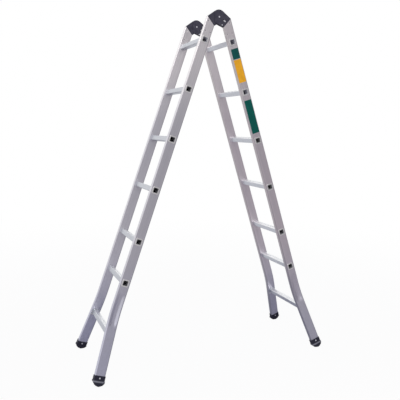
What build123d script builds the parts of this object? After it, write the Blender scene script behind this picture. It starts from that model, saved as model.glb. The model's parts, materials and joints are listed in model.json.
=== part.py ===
from build123d import *
import os
from math import acos, atan2, cos, degrees, hypot, radians, sin, sqrt, tan

os.makedirs("parts", exist_ok=True)

# A folding double ladder: two seven-rung flights of aluminium tube, joined at the top by two locking hinges.
# Sizes are in millimetres and degrees.
# Each flight is drawn in its own leg frame: origin on the pivot line, X outward from the fold, Y along the
# pivot line, Z up the leg. A drop is a distance down the leg from the pivot.

# Stance
LEAN = 18.2
FLIGHT_WIDTH = 354.0
PIVOT_TO_STILE = 12.4

# Stile tube
STILE_WIDTH = 57.0
STILE_DEPTH = 25.0
STILE_WALL = 1.8
STILE_CORNER = 4.0
STILE_END_DROP = 2103.0
BEND_TO_BOTTOM_RUNG = 96.0
FLARE = 14.3
DENT_FADE_ABOVE = 125.0
DENT_FADE_BELOW = 60.0
DENT_RADIUS = 68.0
DENT_DEPTH = 4.0

# Slanted cut across the top of each stile
CUT_INNER_DROP = 62.0
CUT_OUTER_DROP = 26.0

# Rungs
RUNG_PITCH = 300.0
FIRST_RUNG_DROP = 156.0
THROUGH_RUNGS = 6
SIXTH_RUNG_STEP = 236.0
BOTTOM_RUNG_STEP = 284.0
RUNG_SIZE = 30.0
RUNG_CORNER_CUT = 3.5
RUNG_WALL = 1.6
TREAD_GROOVES = 3
TREAD_PITCH = 5.0
TREAD_GROOVE_WIDTH = 2.0
TREAD_GROOVE_DEPTH = 0.7
SOCKET_CLEARANCE = 0.1
COLLAR_RIM = 5.5
COLLAR_THICKNESS = 2.0
FLANGE_WIDTH = 51.0
FLANGE_HEIGHT = 40.0
FLANGE_THICKNESS = 2.2
FLANGE_CUT = 5.0
FLANGE_RIVET_SPACING = 41.0

# Rivets, drawn with flats for their rounds
RIVET_SIDES = 6
RIVET_RADIUS = 2.4
RIVET_CLEARANCE = 0.1
RIVET_SEAT_CLEARANCE = 0.02
RIVET_HEAD_RADIUS = 4.4
RIVET_HEAD_HEIGHT = 1.2
RIVET_SINK = 0.6

# Feet
FOOT_WALL = 2.4
FOOT_CLEARANCE = 0.1
FOOT_SLEEVE_HEIGHT = 25.0
FOOT_RIVET_DROP = 13.0
FOOT_INSERTION = 22.0
SOLE_LIP = 1.4
SOLE_BULGE = 4.0
SOLE_EDGE_HEIGHT = 6.0
SOLE_SAG = 17.0
TREAD_FLAT_DEPTH = 1.2
SOLE_GROOVE_ANGLES = (-44.0, -28.0, -12.0, 42.0)
SOLE_GROOVE_WIDTH = 3.0
SOLE_GROOVE_DEPTH = 1.4

# Hinge plates
HEAD_RADIUS = 41.5
HUB_RADIUS = 32.5
LEAF_THICKNESS = 13.4
PLATE_GAP = 0.2
TONGUE_CLEARANCE = 0.2
TONGUE_DROP = 128.0
CHEEK_FLAT = 27.0
LOBE_ANGLES = (0.0, -60.0, -120.0)
PIN_RADIUS = 7.0
PIN_CLEARANCE = 0.05
PIN_PROUD = 1.4
HINGE_RIVETS = ((41.0, 48.0), (41.0, 106.0), (10.0, 106.0))
SPACER_RIVET = (5.0, 48.5)
SPACER_RIVET_BODY = 3.2
SPACER_RIVET_HEAD = 3.6

# Lock
LOCK_ANGLE = 40.6
BOLT_LENGTH = 14.0
BOLT_WIDTH = 8.0
BOLT_PROUD = 1.4
BOLT_CLEARANCE = 0.1
BOLT_TRAVEL = 6.0
HUB_CLEARANCE = 0.8
NOTCH_CLEARANCE = 0.4
SLOT_END_CLEARANCE = 0.4
SPRING_FOLDS = 5
SPRING_FOLD_PITCH = 3.4
SPRING_WIDTH = 9.0
SPRING_STRIP = 0.8
SPRING_CLEARANCE = 0.4

# Derived places
FLARE_RAD = radians(FLARE)
CENTRE_X = PIVOT_TO_STILE + STILE_WIDTH / 2
CENTRE_Y = (FLIGHT_WIDTH - STILE_DEPTH) / 2
CAVITY_DEPTH = STILE_DEPTH - 2 * STILE_WALL
SPACER_THICKNESS = LEAF_THICKNESS + 2 * PLATE_GAP
CHEEK_THICKNESS = (CAVITY_DEPTH - SPACER_THICKNESS) / 2
RUNG_DROPS = [FIRST_RUNG_DROP + i * RUNG_PITCH for i in range(THROUGH_RUNGS - 1)]
RUNG_DROPS.append(RUNG_DROPS[-1] + SIXTH_RUNG_STEP)
BOTTOM_RUNG_DROP = RUNG_DROPS[-1] + BOTTOM_RUNG_STEP
BEND_DROP = BOTTOM_RUNG_DROP - BEND_TO_BOTTOM_RUNG
SLEEVE_WIDTH = STILE_WIDTH + 2 * (FOOT_CLEARANCE + FOOT_WALL)
SLEEVE_DEPTH = STILE_DEPTH + 2 * (FOOT_CLEARANCE + FOOT_WALL)
SOLE_REACH = SLEEVE_WIDTH / 2 + SOLE_LIP
SOLE_RADIUS = (SOLE_REACH**2 + SOLE_SAG**2) / (2 * SOLE_SAG)
SOLE_TOP = SOLE_SAG + SOLE_EDGE_HEIGHT - SOLE_RADIUS
SLEEVE_TOP = SOLE_TOP + FOOT_SLEEVE_HEIGHT
POCKET_FLOOR = SLEEVE_TOP - FOOT_INSERTION
SOLE_DROP = STILE_END_DROP + POCKET_FLOOR * cos(FLARE_RAD)
PIVOT_HEIGHT = (
    SOLE_DROP * cos(radians(LEAN)) - CENTRE_X * sin(radians(LEAN)) + SOLE_RADIUS - TREAD_FLAT_DEPTH
)
BOLT_INNER = HUB_RADIUS + HUB_CLEARANCE
BOLT_OUTER = BOLT_INNER + BOLT_LENGTH
SPRING_LENGTH = SPRING_FOLDS * SPRING_FOLD_PITCH


def centre_y(drop):
    """Distance of the stile's centreline from the middle of the flight at a drop."""
    return CENTRE_Y + max(0.0, drop - BEND_DROP) * tan(FLARE_RAD)


def cut_drop(x):
    """Drop of the slanted cut across the stile's top at a distance outward from the pivot line."""
    return CUT_INNER_DROP + (x - PIVOT_TO_STILE) / STILE_WIDTH * (CUT_OUTER_DROP - CUT_INNER_DROP)


def slab(profile, low, high):
    """A flat piece whose side profile is drawn in X and Z, between two places along Y."""
    return extrude(Plane.XZ.offset(-high) * profile, amount=high - low)


def outline(*points):
    """A straight-sided face through points given as (x, drop) pairs."""
    return make_face(Polyline(*[(x, -drop) for x, drop in points], close=True))


def far_copy(shape):
    """The same piece at the other end of the pivot line."""
    return mirror(shape, about=Plane.XZ)


def in_flight(shape, side):
    """A piece from the leg frame, leaned to its side and lifted to stand on the floor."""
    lean = -LEAN if side == "right" else LEAN
    turn = 0 if side == "right" else 180
    return Pos(0, 0, PIVOT_HEIGHT) * Rot(0, lean, 0) * Rot(0, 0, turn) * shape


def rivet_prism(radius, length):
    """A bar of the rivets' section along Z, centred on the origin."""
    return extrude(RegularPolygon(radius, RIVET_SIDES, major_radius=False), length / 2, both=True)


def rivet_drill(length):
    """What a rivet's hole takes away, along Z."""
    return rivet_prism(RIVET_RADIUS + RIVET_CLEARANCE, length)


def rivet(grip, head_radius=RIVET_HEAD_RADIUS):
    """A rivet along Z, centred on its grip, with a formed head at each end."""
    seat = grip / 2 + RIVET_SEAT_CLEARANCE
    head = Pos(0, 0, seat + RIVET_HEAD_HEIGHT / 2) * rivet_prism(head_radius, RIVET_HEAD_HEIGHT)
    return rivet_prism(RIVET_RADIUS, 2 * seat) + head + mirror(head, about=Plane.XY)


def cut_square(size, cut):
    """A square with its corners cut off at 45 degrees."""
    return chamfer(Rectangle(size, size).vertices(), cut)


# Stiles


def stile_run(inset):
    """The stile's outer form, or its bore at the wall's inset, swept down the line that kinks at the bend."""
    top = (CENTRE_X, -CENTRE_Y, 0)
    bend = (CENTRE_X, -CENTRE_Y, -BEND_DROP)
    end = (CENTRE_X, -centre_y(STILE_END_DROP), -STILE_END_DROP)
    line = Polyline(top, bend, end)
    section = Rectangle(STILE_WIDTH - 2 * inset, STILE_DEPTH - 2 * inset)
    if inset == 0:
        section = fillet(section.vertices(), STILE_CORNER)
    section = Plane(origin=top, x_dir=(1, 0, 0), z_dir=(0, 0, -1)) * section
    return sweep(section, path=line, transition=Transition.RIGHT)


def bend_dent(growth):
    """The hollow pressed into the outer face at the bend, grown by the wall for the bore.

    Two round bars meet at the bend and tilt away from the face, so the hollow fades out up and down the stile.
    """
    half_flare = FLARE_RAD / 2
    reach = (STILE_DEPTH / 2 + DENT_RADIUS - DENT_DEPTH) / cos(half_flare)
    meet = (CENTRE_X, -CENTRE_Y - reach * cos(half_flare), -BEND_DROP + reach * sin(half_flare))
    fold = Plane(origin=meet, x_dir=(1, 0, 0), z_dir=(0, sin(half_flare), cos(half_flare)))
    rise = degrees(atan2(DENT_DEPTH, DENT_FADE_ABOVE))
    fall = degrees(atan2(DENT_DEPTH, DENT_FADE_BELOW))
    bar = Cylinder(DENT_RADIUS + growth, 4 * (DENT_FADE_ABOVE + DENT_FADE_BELOW))
    upper = split(Pos(*meet) * Rot(rise, 0, 0) * bar, bisect_by=fold, keep=Keep.TOP)
    lower = split(Pos(*meet) * Rot(-FLARE - fall, 0, 0) * bar, bisect_by=fold, keep=Keep.BOTTOM)
    return upper + lower


def rung_socket(drop):
    """The through hole for a rung in the near stile."""
    hole = Rectangle(RUNG_SIZE + 2 * SOCKET_CLEARANCE, RUNG_SIZE + 2 * SOCKET_CLEARANCE)
    return slab(Pos(CENTRE_X, -drop) * hole, -CENTRE_Y - STILE_DEPTH, -CENTRE_Y + STILE_DEPTH)


def hinge_rivet_holes():
    """Faces of the three hinge rivet holes, in the side plane."""
    hole = RegularPolygon(RIVET_RADIUS + RIVET_CLEARANCE, RIVET_SIDES, major_radius=False)
    return [Pos(PIVOT_TO_STILE + x, -drop) * hole for x, drop in HINGE_RIVETS]


def stile():
    """A near stile: flared tube with a slanted top, rung sockets, rivet holes and a pressed bend."""
    tube = stile_run(0) - bend_dent(0) - (stile_run(STILE_WALL) - bend_dent(STILE_WALL))
    x_far = PIVOT_TO_STILE + 2 * STILE_WIDTH
    waste = outline((0, cut_drop(0)), (x_far, cut_drop(x_far)), (x_far, -STILE_WIDTH), (0, -STILE_WIDTH))
    tube -= slab(waste, -FLIGHT_WIDTH, 0)
    for drop in RUNG_DROPS:
        tube -= rung_socket(drop)
    for hole in hinge_rivet_holes():
        tube -= slab(hole, -FLIGHT_WIDTH, 0)
    tube -= foot_rivet_place() * rivet_drill(2 * STILE_DEPTH)
    for spot in flange_rivet_spots():
        tube -= spot * rivet_drill(STILE_DEPTH)
    return tube


# Rungs


def rung_bore():
    """Hollow of the rung tube."""
    return Rectangle(RUNG_SIZE - 2 * RUNG_WALL, RUNG_SIZE - 2 * RUNG_WALL)


def rung_section():
    """Outside of the rung tube, with grip grooves along the tread."""
    section = cut_square(RUNG_SIZE, RUNG_CORNER_CUT)
    groove = Rectangle(TREAD_GROOVE_WIDTH, 2 * TREAD_GROOVE_DEPTH)
    for i in range(TREAD_GROOVES):
        x = (i - (TREAD_GROOVES - 1) / 2) * TREAD_PITCH
        section -= Pos(x, RUNG_SIZE / 2) * groove
    return section


def through_rung():
    """A rung that passes through both stiles, with its ends swaged out against their outer faces."""
    outer_face = -FLIGHT_WIDTH / 2
    tube = slab(rung_section(), outer_face, 0)
    collar = cut_square(RUNG_SIZE + 2 * COLLAR_RIM, RUNG_CORNER_CUT + COLLAR_RIM * (2 - sqrt(2)))
    tube += slab(collar, outer_face - COLLAR_THICKNESS, outer_face)
    tube -= slab(rung_bore(), -FLIGHT_WIDTH, 0)
    return tube + far_copy(tube)


def flared_wall():
    """Plane of the near stile's inner wall where the bottom rung meets it, facing into the flight."""
    y = -centre_y(BOTTOM_RUNG_DROP) + STILE_DEPTH / 2 / cos(FLARE_RAD)
    inward = (0, cos(FLARE_RAD), -sin(FLARE_RAD))
    return Plane(origin=(CENTRE_X, y, -BOTTOM_RUNG_DROP), x_dir=(1, 0, 0), z_dir=inward)


def flange_rivet_spots():
    """Places of the rivets that hold the bottom rung's flange to the near stile."""
    return [flared_wall() * Pos(x, 0, 0) for x in (-FLANGE_RIVET_SPACING / 2, FLANGE_RIVET_SPACING / 2)]


def bottom_rung():
    """The bottom rung, with an end flange riveted to each flared stile."""
    wall = flared_wall()
    reach = -FLIGHT_WIDTH
    half = Pos(CENTRE_X, 0, -BOTTOM_RUNG_DROP) * slab(rung_section(), reach, 0)
    half = split(half, bisect_by=wall, keep=Keep.TOP)
    flange = chamfer(Rectangle(FLANGE_WIDTH, FLANGE_HEIGHT).vertices(), FLANGE_CUT)
    half += extrude(wall * flange, FLANGE_THICKNESS)
    half -= Pos(CENTRE_X, 0, -BOTTOM_RUNG_DROP) * slab(rung_bore(), reach, 0)
    for spot in flange_rivet_spots():
        half -= spot * rivet_drill(STILE_DEPTH)
    return half + far_copy(half)


def bottom_rung_rivets():
    """The four rivets of one flight's bottom rung."""
    grip = FLANGE_THICKNESS + STILE_WALL
    near = [spot * Pos(0, 0, FLANGE_THICKNESS - grip / 2) * rivet(grip) for spot in flange_rivet_spots()]
    return near + [far_copy(one) for one in near]


# Feet


def foot_frame():
    """Frame on the axis of the near foot's round sole, with Z up the flared stile."""
    up = (0, sin(FLARE_RAD), cos(FLARE_RAD))
    return Location(Plane(origin=(CENTRE_X, -centre_y(SOLE_DROP), -SOLE_DROP), x_dir=(1, 0, 0), z_dir=up))


def foot_rivet_place():
    """Place of the near foot's rivet, along local Z."""
    return foot_frame() * Pos(0, 0, SLEEVE_TOP - FOOT_RIVET_DROP) * Rot(90, 0, 0)


def sole_round():
    """The round tread, level along the floor, with grip grooves across it."""
    long = 6 * STILE_DEPTH
    form = Rot(90, 0, 0) * Cylinder(SOLE_RADIUS, long)
    groove = Pos(0, 0, -SOLE_RADIUS) * Box(SOLE_GROOVE_WIDTH, long, 2 * SOLE_GROOVE_DEPTH)
    for angle in SOLE_GROOVE_ANGLES:
        form -= Rot(0, angle, 0) * groove
    return Pos(CENTRE_X, -centre_y(SOLE_DROP), -SOLE_DROP) * form


def sole_outline():
    """Outline of the sole across the leg, with sides that bulge past the sleeve."""
    side = SLEEVE_DEPTH / 2
    near = ThreePointArc((-SOLE_REACH, -side), (0, -side - SOLE_BULGE), (SOLE_REACH, -side))
    far = ThreePointArc((SOLE_REACH, side), (0, side + SOLE_BULGE), (-SOLE_REACH, side))
    return make_face([near, Line(near @ 1, far @ 0), far, Line(far @ 1, near @ 0)])


def foot():
    """A near foot: a sleeve over the stile's end on a round sole that stands out around it."""
    outside = chamfer(Rectangle(SLEEVE_WIDTH, SLEEVE_DEPTH).vertices(), FOOT_WALL)
    sleeve = Pos(0, 0, SOLE_TOP) * extrude(outside, FOOT_SLEEVE_HEIGHT)
    block = Pos(0, 0, SOLE_TOP) * extrude(sole_outline(), -2 * SOLE_RADIUS)
    pocket = Rectangle(STILE_WIDTH + 2 * FOOT_CLEARANCE, STILE_DEPTH + 2 * FOOT_CLEARANCE)
    bore = Pos(0, 0, POCKET_FLOOR) * extrude(pocket, 2 * FOOT_INSERTION)
    body = foot_frame() * block & sole_round()
    body += foot_frame() * sleeve
    return body - foot_frame() * bore - foot_rivet_place() * rivet_drill(2 * STILE_DEPTH)


def foot_rivet():
    """The rivet through the near foot and the stile."""
    return foot_rivet_place() * rivet(SLEEVE_DEPTH)


def standing_foot(shape, side):
    """A foot in its place, with the tread's flat cut level with the floor."""
    return split(in_flight(shape, side), bisect_by=Plane.XY, keep=Keep.TOP)


# Hinges


def tangent_from(x, drop, radius, turn):
    """Point (x, drop) where a line from a corner touches a circle about the pivot, on the turned side."""
    angle = atan2(-drop, x) + turn * acos(radius / hypot(x, drop))
    return radius * cos(angle), -radius * sin(angle)


def lock_ray(angle, radius):
    """Point (x, drop) at an angle inward from the leg's line and a distance from the pivot."""
    return -radius * sin(radians(angle)), radius * cos(radians(angle))


def tongue():
    """Outline of what slides into the stile's top, below the slanted cut."""
    low = PIVOT_TO_STILE + STILE_WALL + TONGUE_CLEARANCE
    high = PIVOT_TO_STILE + STILE_WIDTH - STILE_WALL - TONGUE_CLEARANCE
    face = outline((low, cut_drop(low)), (high, cut_drop(high)), (high, TONGUE_DROP), (low, TONGUE_DROP))
    return face - hinge_rivet_holes()


def shoulder(inner_radius):
    """Outline from the stile's cut to the round head, touching a circle on the inner side."""
    inner = (PIVOT_TO_STILE, CUT_INNER_DROP)
    outer = (PIVOT_TO_STILE + STILE_WIDTH, CUT_OUTER_DROP)
    inner_touch = tangent_from(*inner, inner_radius, -1)
    outer_touch = tangent_from(*outer, HEAD_RADIUS, 1)
    return outline(inner, outer, outer_touch, (0, 0), inner_touch)


def leaf_notches():
    """Notches in the hub's rim for the lock bolt: folded, standing and opened straight."""
    depth = BOLT_TRAVEL - HUB_CLEARANCE + NOTCH_CLEARANCE
    notch = Rectangle(BOLT_WIDTH + 2 * NOTCH_CLEARANCE, 2 * depth)
    notches = []
    for opening in (0, 2 * LEAN, 180):
        angle = LOCK_ANGLE + opening
        x, drop = lock_ray(angle, HUB_RADIUS)
        notches.append(Pos(x, -drop) * Rot(0, 0, -angle) * notch)
    return notches


def leaf():
    """The left half of a hinge: a thick leaf with a notched hub, a full head outside the bolt's sweep."""
    past_head = 2 * HEAD_RADIUS
    lobe = Circle(HEAD_RADIUS) & outline((0, 0), *[lock_ray(angle, past_head) for angle in LOBE_ANGLES])
    inner_radius = HUB_RADIUS - BOLT_WIDTH / 2
    face = Circle(HUB_RADIUS) + lobe + shoulder(inner_radius)
    face -= leaf_notches()
    face -= Circle(PIN_RADIUS + PIN_CLEARANCE)
    head = slab(face, -LEAF_THICKNESS / 2, LEAF_THICKNESS / 2)
    return head + slab(tongue(), -CAVITY_DEPTH / 2, CAVITY_DEPTH / 2)


def lock_place(radius):
    """Place in the side plane on the bolt's line, with local X along the line, away from the pivot."""
    x, drop = lock_ray(-LOCK_ANGLE, radius)
    return Pos(x, -drop) * Rot(0, 0, LOCK_ANGLE - 90)


def cheek():
    """A side plate of the hinge's right half, in the place nearer the outside of the ladder."""
    flat = Pos(CHEEK_FLAT + HEAD_RADIUS, 0) * Rectangle(2 * HEAD_RADIUS, 4 * HEAD_RADIUS)
    head = Circle(HEAD_RADIUS) - Rot(0, 0, 180 - LEAN) * flat
    slot_inner = BOLT_INNER - BOLT_TRAVEL - SLOT_END_CLEARANCE
    slot_outer = BOLT_OUTER + SLOT_END_CLEARANCE
    slot = Rectangle(slot_outer - slot_inner, BOLT_WIDTH + 2 * BOLT_CLEARANCE)
    face = head + shoulder(HEAD_RADIUS) + tongue()
    face -= lock_place((slot_inner + slot_outer) / 2) * slot
    face -= Circle(PIN_RADIUS + PIN_CLEARANCE)
    x, drop = SPACER_RIVET
    face -= Pos(x, -drop) * RegularPolygon(RIVET_RADIUS + RIVET_CLEARANCE, RIVET_SIDES, major_radius=False)
    outer = -CAVITY_DEPTH / 2
    return slab(face, outer, outer + CHEEK_THICKNESS)


def cheek_spacer():
    """The block between the cheeks inside the right stile, with the lock spring's pocket."""
    pocket_floor = BOLT_OUTER + SPRING_LENGTH
    width = SPRING_WIDTH + 2 * SPRING_CLEARANCE
    pocket = lock_place(pocket_floor - SPRING_LENGTH / 2) * Rectangle(SPRING_LENGTH, width)
    return slab(tongue() - pocket, -SPACER_THICKNESS / 2, SPACER_THICKNESS / 2)


def pivot_pin():
    """The pin that the hinge turns on, riveted over just proud of the cheeks."""
    return Rot(90, 0, 0) * Cylinder(PIN_RADIUS, CAVITY_DEPTH + 2 * PIN_PROUD)


def lock_bolt():
    """The flat bolt that slides in both cheeks, drawn back clear of the hub."""
    half = CAVITY_DEPTH / 2 + BOLT_PROUD
    section = Rectangle(BOLT_LENGTH, BOLT_WIDTH)
    return slab(lock_place((BOLT_INNER + BOLT_OUTER) / 2) * section, -half, half)


def lock_spring():
    """The folded strip spring between the bolt and the floor of its pocket."""
    shift = SPRING_STRIP * hypot(1, SPRING_WIDTH / SPRING_FOLD_PITCH)
    swing = (SPRING_WIDTH - shift) / 2
    near = [(i * SPRING_FOLD_PITCH, swing * (-1) ** i - shift / 2) for i in range(SPRING_FOLDS + 1)]
    far = [(along, across + shift) for along, across in reversed(near)]
    strip = make_face(Polyline(*near, *far, close=True))
    half = SPACER_THICKNESS / 2 - SPRING_CLEARANCE
    return slab(lock_place(BOLT_OUTER) * strip, -half, half)


def hinge_rivets():
    """The three rivets through one stile's top and the hinge half inside it, pressed below its faces."""
    turned = Rot(90, 0, 0) * rivet_prism(RIVET_RADIUS, STILE_DEPTH - 2 * RIVET_SINK)
    return [Pos(PIVOT_TO_STILE + x, 0, -drop) * turned for x, drop in HINGE_RIVETS]


def spacer_rivet():
    """The shouldered rivet that keeps the cheeks apart beside the leaf."""
    x, drop = SPACER_RIVET
    body = rivet_prism(SPACER_RIVET_BODY, SPACER_THICKNESS) + rivet(CAVITY_DEPTH, SPACER_RIVET_HEAD)
    return Pos(x, 0, -drop) * Rot(90, 0, 0) * body


# Assembly


def both_ends(shapes, side):
    """Pieces of the near hinge and their far copies, as (front, rear) in the standing ladder."""
    near = [Pos(0, -CENTRE_Y, 0) * shape for shape in shapes]
    ends = [near, [far_copy(shape) for shape in near]]
    front, rear = ends if side == "right" else reversed(ends)
    return [in_flight(shape, side) for shape in front], [in_flight(shape, side) for shape in rear]


def hinge_nodes():
    """Named pieces of both hinges, in their places in the standing ladder."""
    outer = cheek()
    single = {
        "hinge_leaf": (leaf(), "left"),
        "outer_cheek": (outer, "right"),
        "inner_cheek": (mirror(outer, about=Plane.XZ), "right"),
        "cheek_spacer": (cheek_spacer(), "right"),
        "lock_bolt": (lock_bolt(), "right"),
        "lock_spring": (lock_spring(), "right"),
    }
    shared = {
        "pivot_pins": ([pivot_pin()], "left"),
        "left_hinge_rivets": (hinge_rivets(), "left"),
        "right_hinge_rivets": (hinge_rivets(), "right"),
        "cheek_spacer_rivets": ([spacer_rivet()], "right"),
    }
    nodes = {}
    for name, (shape, side) in single.items():
        nodes[f"front_{name}"], nodes[f"rear_{name}"] = both_ends([shape], side)
    for name, (shapes, side) in shared.items():
        front, rear = both_ends(shapes, side)
        nodes[name] = front + rear
    return nodes


def flight_nodes(side):
    """Named pieces of one flight, in their places in the standing ladder."""
    nodes = {}
    near, far = ("front", "rear") if side == "right" else ("rear", "front")
    nodes[f"{side}_{near}_stile"] = [in_flight(STILE, side)]
    nodes[f"{side}_{far}_stile"] = [in_flight(far_copy(STILE), side)]
    nodes[f"{side}_{near}_foot"] = [standing_foot(FOOT, side)]
    nodes[f"{side}_{far}_foot"] = [standing_foot(far_copy(FOOT), side)]
    for number, drop in enumerate(RUNG_DROPS, start=1):
        nodes[f"{side}_rung_{number}"] = [in_flight(Pos(CENTRE_X, 0, -drop) * RUNG, side)]
    nodes[f"{side}_rung_{THROUGH_RUNGS + 1}"] = [in_flight(bottom_rung(), side)]
    nodes[f"{side}_bottom_rung_rivets"] = [in_flight(shape, side) for shape in bottom_rung_rivets()]
    rivet_pair = (foot_rivet(), far_copy(foot_rivet()))
    nodes[f"{side}_foot_rivets"] = [in_flight(shape, side) for shape in rivet_pair]
    return nodes


STILE = stile()
FOOT = foot()
RUNG = through_rung()

for name, shapes in {**flight_nodes("left"), **flight_nodes("right"), **hinge_nodes()}.items():
    solids = [solid for shape in shapes for solid in shape.solids()]
    export_step(solids[0] if len(solids) == 1 else Compound(children=solids), f"parts/{name}.step")
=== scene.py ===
"""Looks of a folding double ladder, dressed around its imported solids.

Sizes are in metres. A flight's pieces are modelled once in its leg frame, with X outward from the fold, Y
along the pivot line and Z up the leg, and are then set in place by that flight's matrix. A drop is a distance
down the leg from the pivot line. The near end of a flight is the one at the negative end of its Y.
"""

import json
import logging
import math
from collections.abc import Callable, Iterable
from dataclasses import dataclass, field
from enum import Enum
from typing import Any

import bpy
from mathutils import Matrix, Vector

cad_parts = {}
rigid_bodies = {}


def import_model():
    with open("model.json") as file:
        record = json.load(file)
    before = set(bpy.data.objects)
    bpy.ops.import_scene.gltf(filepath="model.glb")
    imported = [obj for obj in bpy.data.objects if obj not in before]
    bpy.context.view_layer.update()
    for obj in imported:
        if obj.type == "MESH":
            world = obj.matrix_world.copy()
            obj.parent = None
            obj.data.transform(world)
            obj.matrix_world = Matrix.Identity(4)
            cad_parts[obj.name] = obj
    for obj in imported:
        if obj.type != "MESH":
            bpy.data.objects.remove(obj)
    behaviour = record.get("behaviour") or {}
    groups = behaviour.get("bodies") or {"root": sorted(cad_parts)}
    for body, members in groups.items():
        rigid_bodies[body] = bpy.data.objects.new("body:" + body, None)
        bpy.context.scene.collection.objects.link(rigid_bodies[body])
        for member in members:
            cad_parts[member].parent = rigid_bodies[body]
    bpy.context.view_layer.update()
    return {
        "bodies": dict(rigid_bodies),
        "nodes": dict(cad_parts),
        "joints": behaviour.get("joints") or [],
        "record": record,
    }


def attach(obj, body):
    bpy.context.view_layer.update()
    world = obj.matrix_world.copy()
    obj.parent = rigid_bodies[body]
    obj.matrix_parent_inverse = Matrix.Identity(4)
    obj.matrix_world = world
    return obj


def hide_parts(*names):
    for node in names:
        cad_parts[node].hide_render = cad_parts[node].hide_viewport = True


LOG = logging.getLogger("ladder")
X_AXIS = Vector((1.0, 0.0, 0.0))
Y_AXIS = Vector((0.0, 1.0, 0.0))
Z_AXIS = Vector((0.0, 0.0, 1.0))
WHITE = (1.0, 1.0, 1.0)
# Cosine above which two directions count as parallel, and below which they count as square to each other.
ALIGNED = 0.99
SQUARE = 0.1
# Angle below which two faces count as one flat.
FLAT = math.radians(0.2)
# Distance below which two places count as one.
TOUCH = 1e-5
# How far a cutter reaches to both sides of the middle of what it cuts.
OVERSHOOT = 0.02
# Numbers of a Mix node's two colour inputs, and of its colour output.
MIX_INPUTS = (6, 7)
MIX_OUTPUT = 2
Colour = tuple[float, float, float]
Point = tuple[float, float, float]
Span = tuple[float, float]
Material = bpy.types.Material
Socket = bpy.types.NodeSocket


class Side(Enum):
    """The two flights: the hinge leaves belong to the left one, the cheeks to the right one."""

    LEFT = "left"
    RIGHT = "right"

    @property
    def body(self) -> str:
        """Name of the moving body."""
        return f"{self.value}_flight"

    def end(self, near: bool) -> str:
        """Name of the ladder's end at which the flight's near or far end stands."""
        return "front" if near == (self is Side.RIGHT) else "rear"


class Element(Enum):
    """What a selection is made of."""

    VERT = (True, False, False)
    EDGE = (False, True, False)
    FACE = (False, False, True)


@dataclass(frozen=True)
class Stance:
    """How the flights stand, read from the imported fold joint.

    Attributes:
        lean: Angle of each leg from upright.
        pivot: Middle of the pivot line.
    """

    lean: float
    pivot: Vector

    @classmethod
    def read(cls, frame: dict[str, Any]) -> "Stance":
        """Reads the stance.


        Returns:
            The stance at rest.
        """
        fold = next(joint for joint in frame["joints"] if joint["name"] == "fold")
        return cls(lean=math.radians(-fold["range_deg"][0] / 2), pivot=Vector(fold["pos_m"]))

    def leg(self, side: Side) -> Matrix:
        """Gives the matrix from a flight's leg frame to the row frame.

        Args:
            side: The flight.

        Returns:
            The matrix.
        """
        lift = Matrix.Translation(self.pivot)
        if side is Side.RIGHT:
            return lift @ Matrix.Rotation(-self.lean, 4, "Y")
        return lift @ Matrix.Rotation(self.lean, 4, "Y") @ Matrix.Rotation(math.pi, 4, "Z")

    @property
    def up_in_leg(self) -> Vector:
        """The row frame's up, as both leg frames see it."""
        return Vector((math.sin(self.lean), 0.0, math.cos(self.lean)))


@dataclass(frozen=True)
class Layout:
    """Places that the pieces of a flight share, in the leg frame.

    Attributes:
        edge: Distance from the pivot line to the stile's inner edge.
        width: Stile tube across the leg.
        depth: Stile tube along the pivot line.
        wall: Wall of the stile tube.
        flight: Width of the flight over its stiles.
        bend: Drop of the kink.
        flare: Turn of the stile below the kink.
        end: Drop of the stile's end.
        rungs: Drops of the rungs that pass through the stiles.
        bottom_rung: Drop of the rung below the kink.
        cut: Drops of the slanted top at the stile's inner and outer edge.
        hinge_rivets: Places of the hinge rivets, from the stile's inner edge and down from the pivot.
        rivet_hole: Radius of a rivet's hole.
    """

    edge: float = 0.0124
    width: float = 0.057
    depth: float = 0.025
    wall: float = 0.0018
    flight: float = 0.354
    bend: float = 1.780
    flare: float = math.radians(14.3)
    end: float = 2.103
    rungs: tuple[float, ...] = (0.156, 0.456, 0.756, 1.056, 1.356, 1.592)
    bottom_rung: float = 1.876
    cut: Span = (0.062, 0.026)
    hinge_rivets: tuple[Span, ...] = ((0.041, 0.048), (0.041, 0.106), (0.010, 0.106))
    rivet_hole: float = 0.0025

    @property
    def centre_x(self) -> float:
        """Distance from the pivot line to the stile's middle."""
        return self.edge + self.width / 2

    @property
    def centre_y(self) -> float:
        """Distance from the flight's middle to a straight stile's middle."""
        return (self.flight - self.depth) / 2

    @property
    def run(self) -> float:
        """Length of the flared part along its middle."""
        return (self.end - self.bend) / math.cos(self.flare)

    @property
    def kink(self) -> Vector:
        """Middle of the near stile's kink."""
        return Vector((self.centre_x, -self.centre_y, -self.bend))

    @property
    def flared(self) -> Matrix:
        """Frame at the near stile's kink, with Z up the flared part."""
        return Matrix.Translation(self.kink) @ Matrix.Rotation(-self.flare, 4, "X")

    @property
    def rivet_spots(self) -> list[Vector]:
        """Places of the hinge rivets about the middle of their stile."""
        return [Vector((self.edge + place, 0.0, -drop)) for place, drop in self.hinge_rivets]

    @property
    def cut_normal(self) -> Vector:
        """Upward normal of the stile's slanted top."""
        return Vector((self.cut[1] - self.cut[0], 0.0, self.width)).normalized()

    @property
    def cut_point(self) -> Vector:
        """A point on the stile's slanted top."""
        return Vector((self.edge, 0.0, -self.cut[0]))


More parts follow.
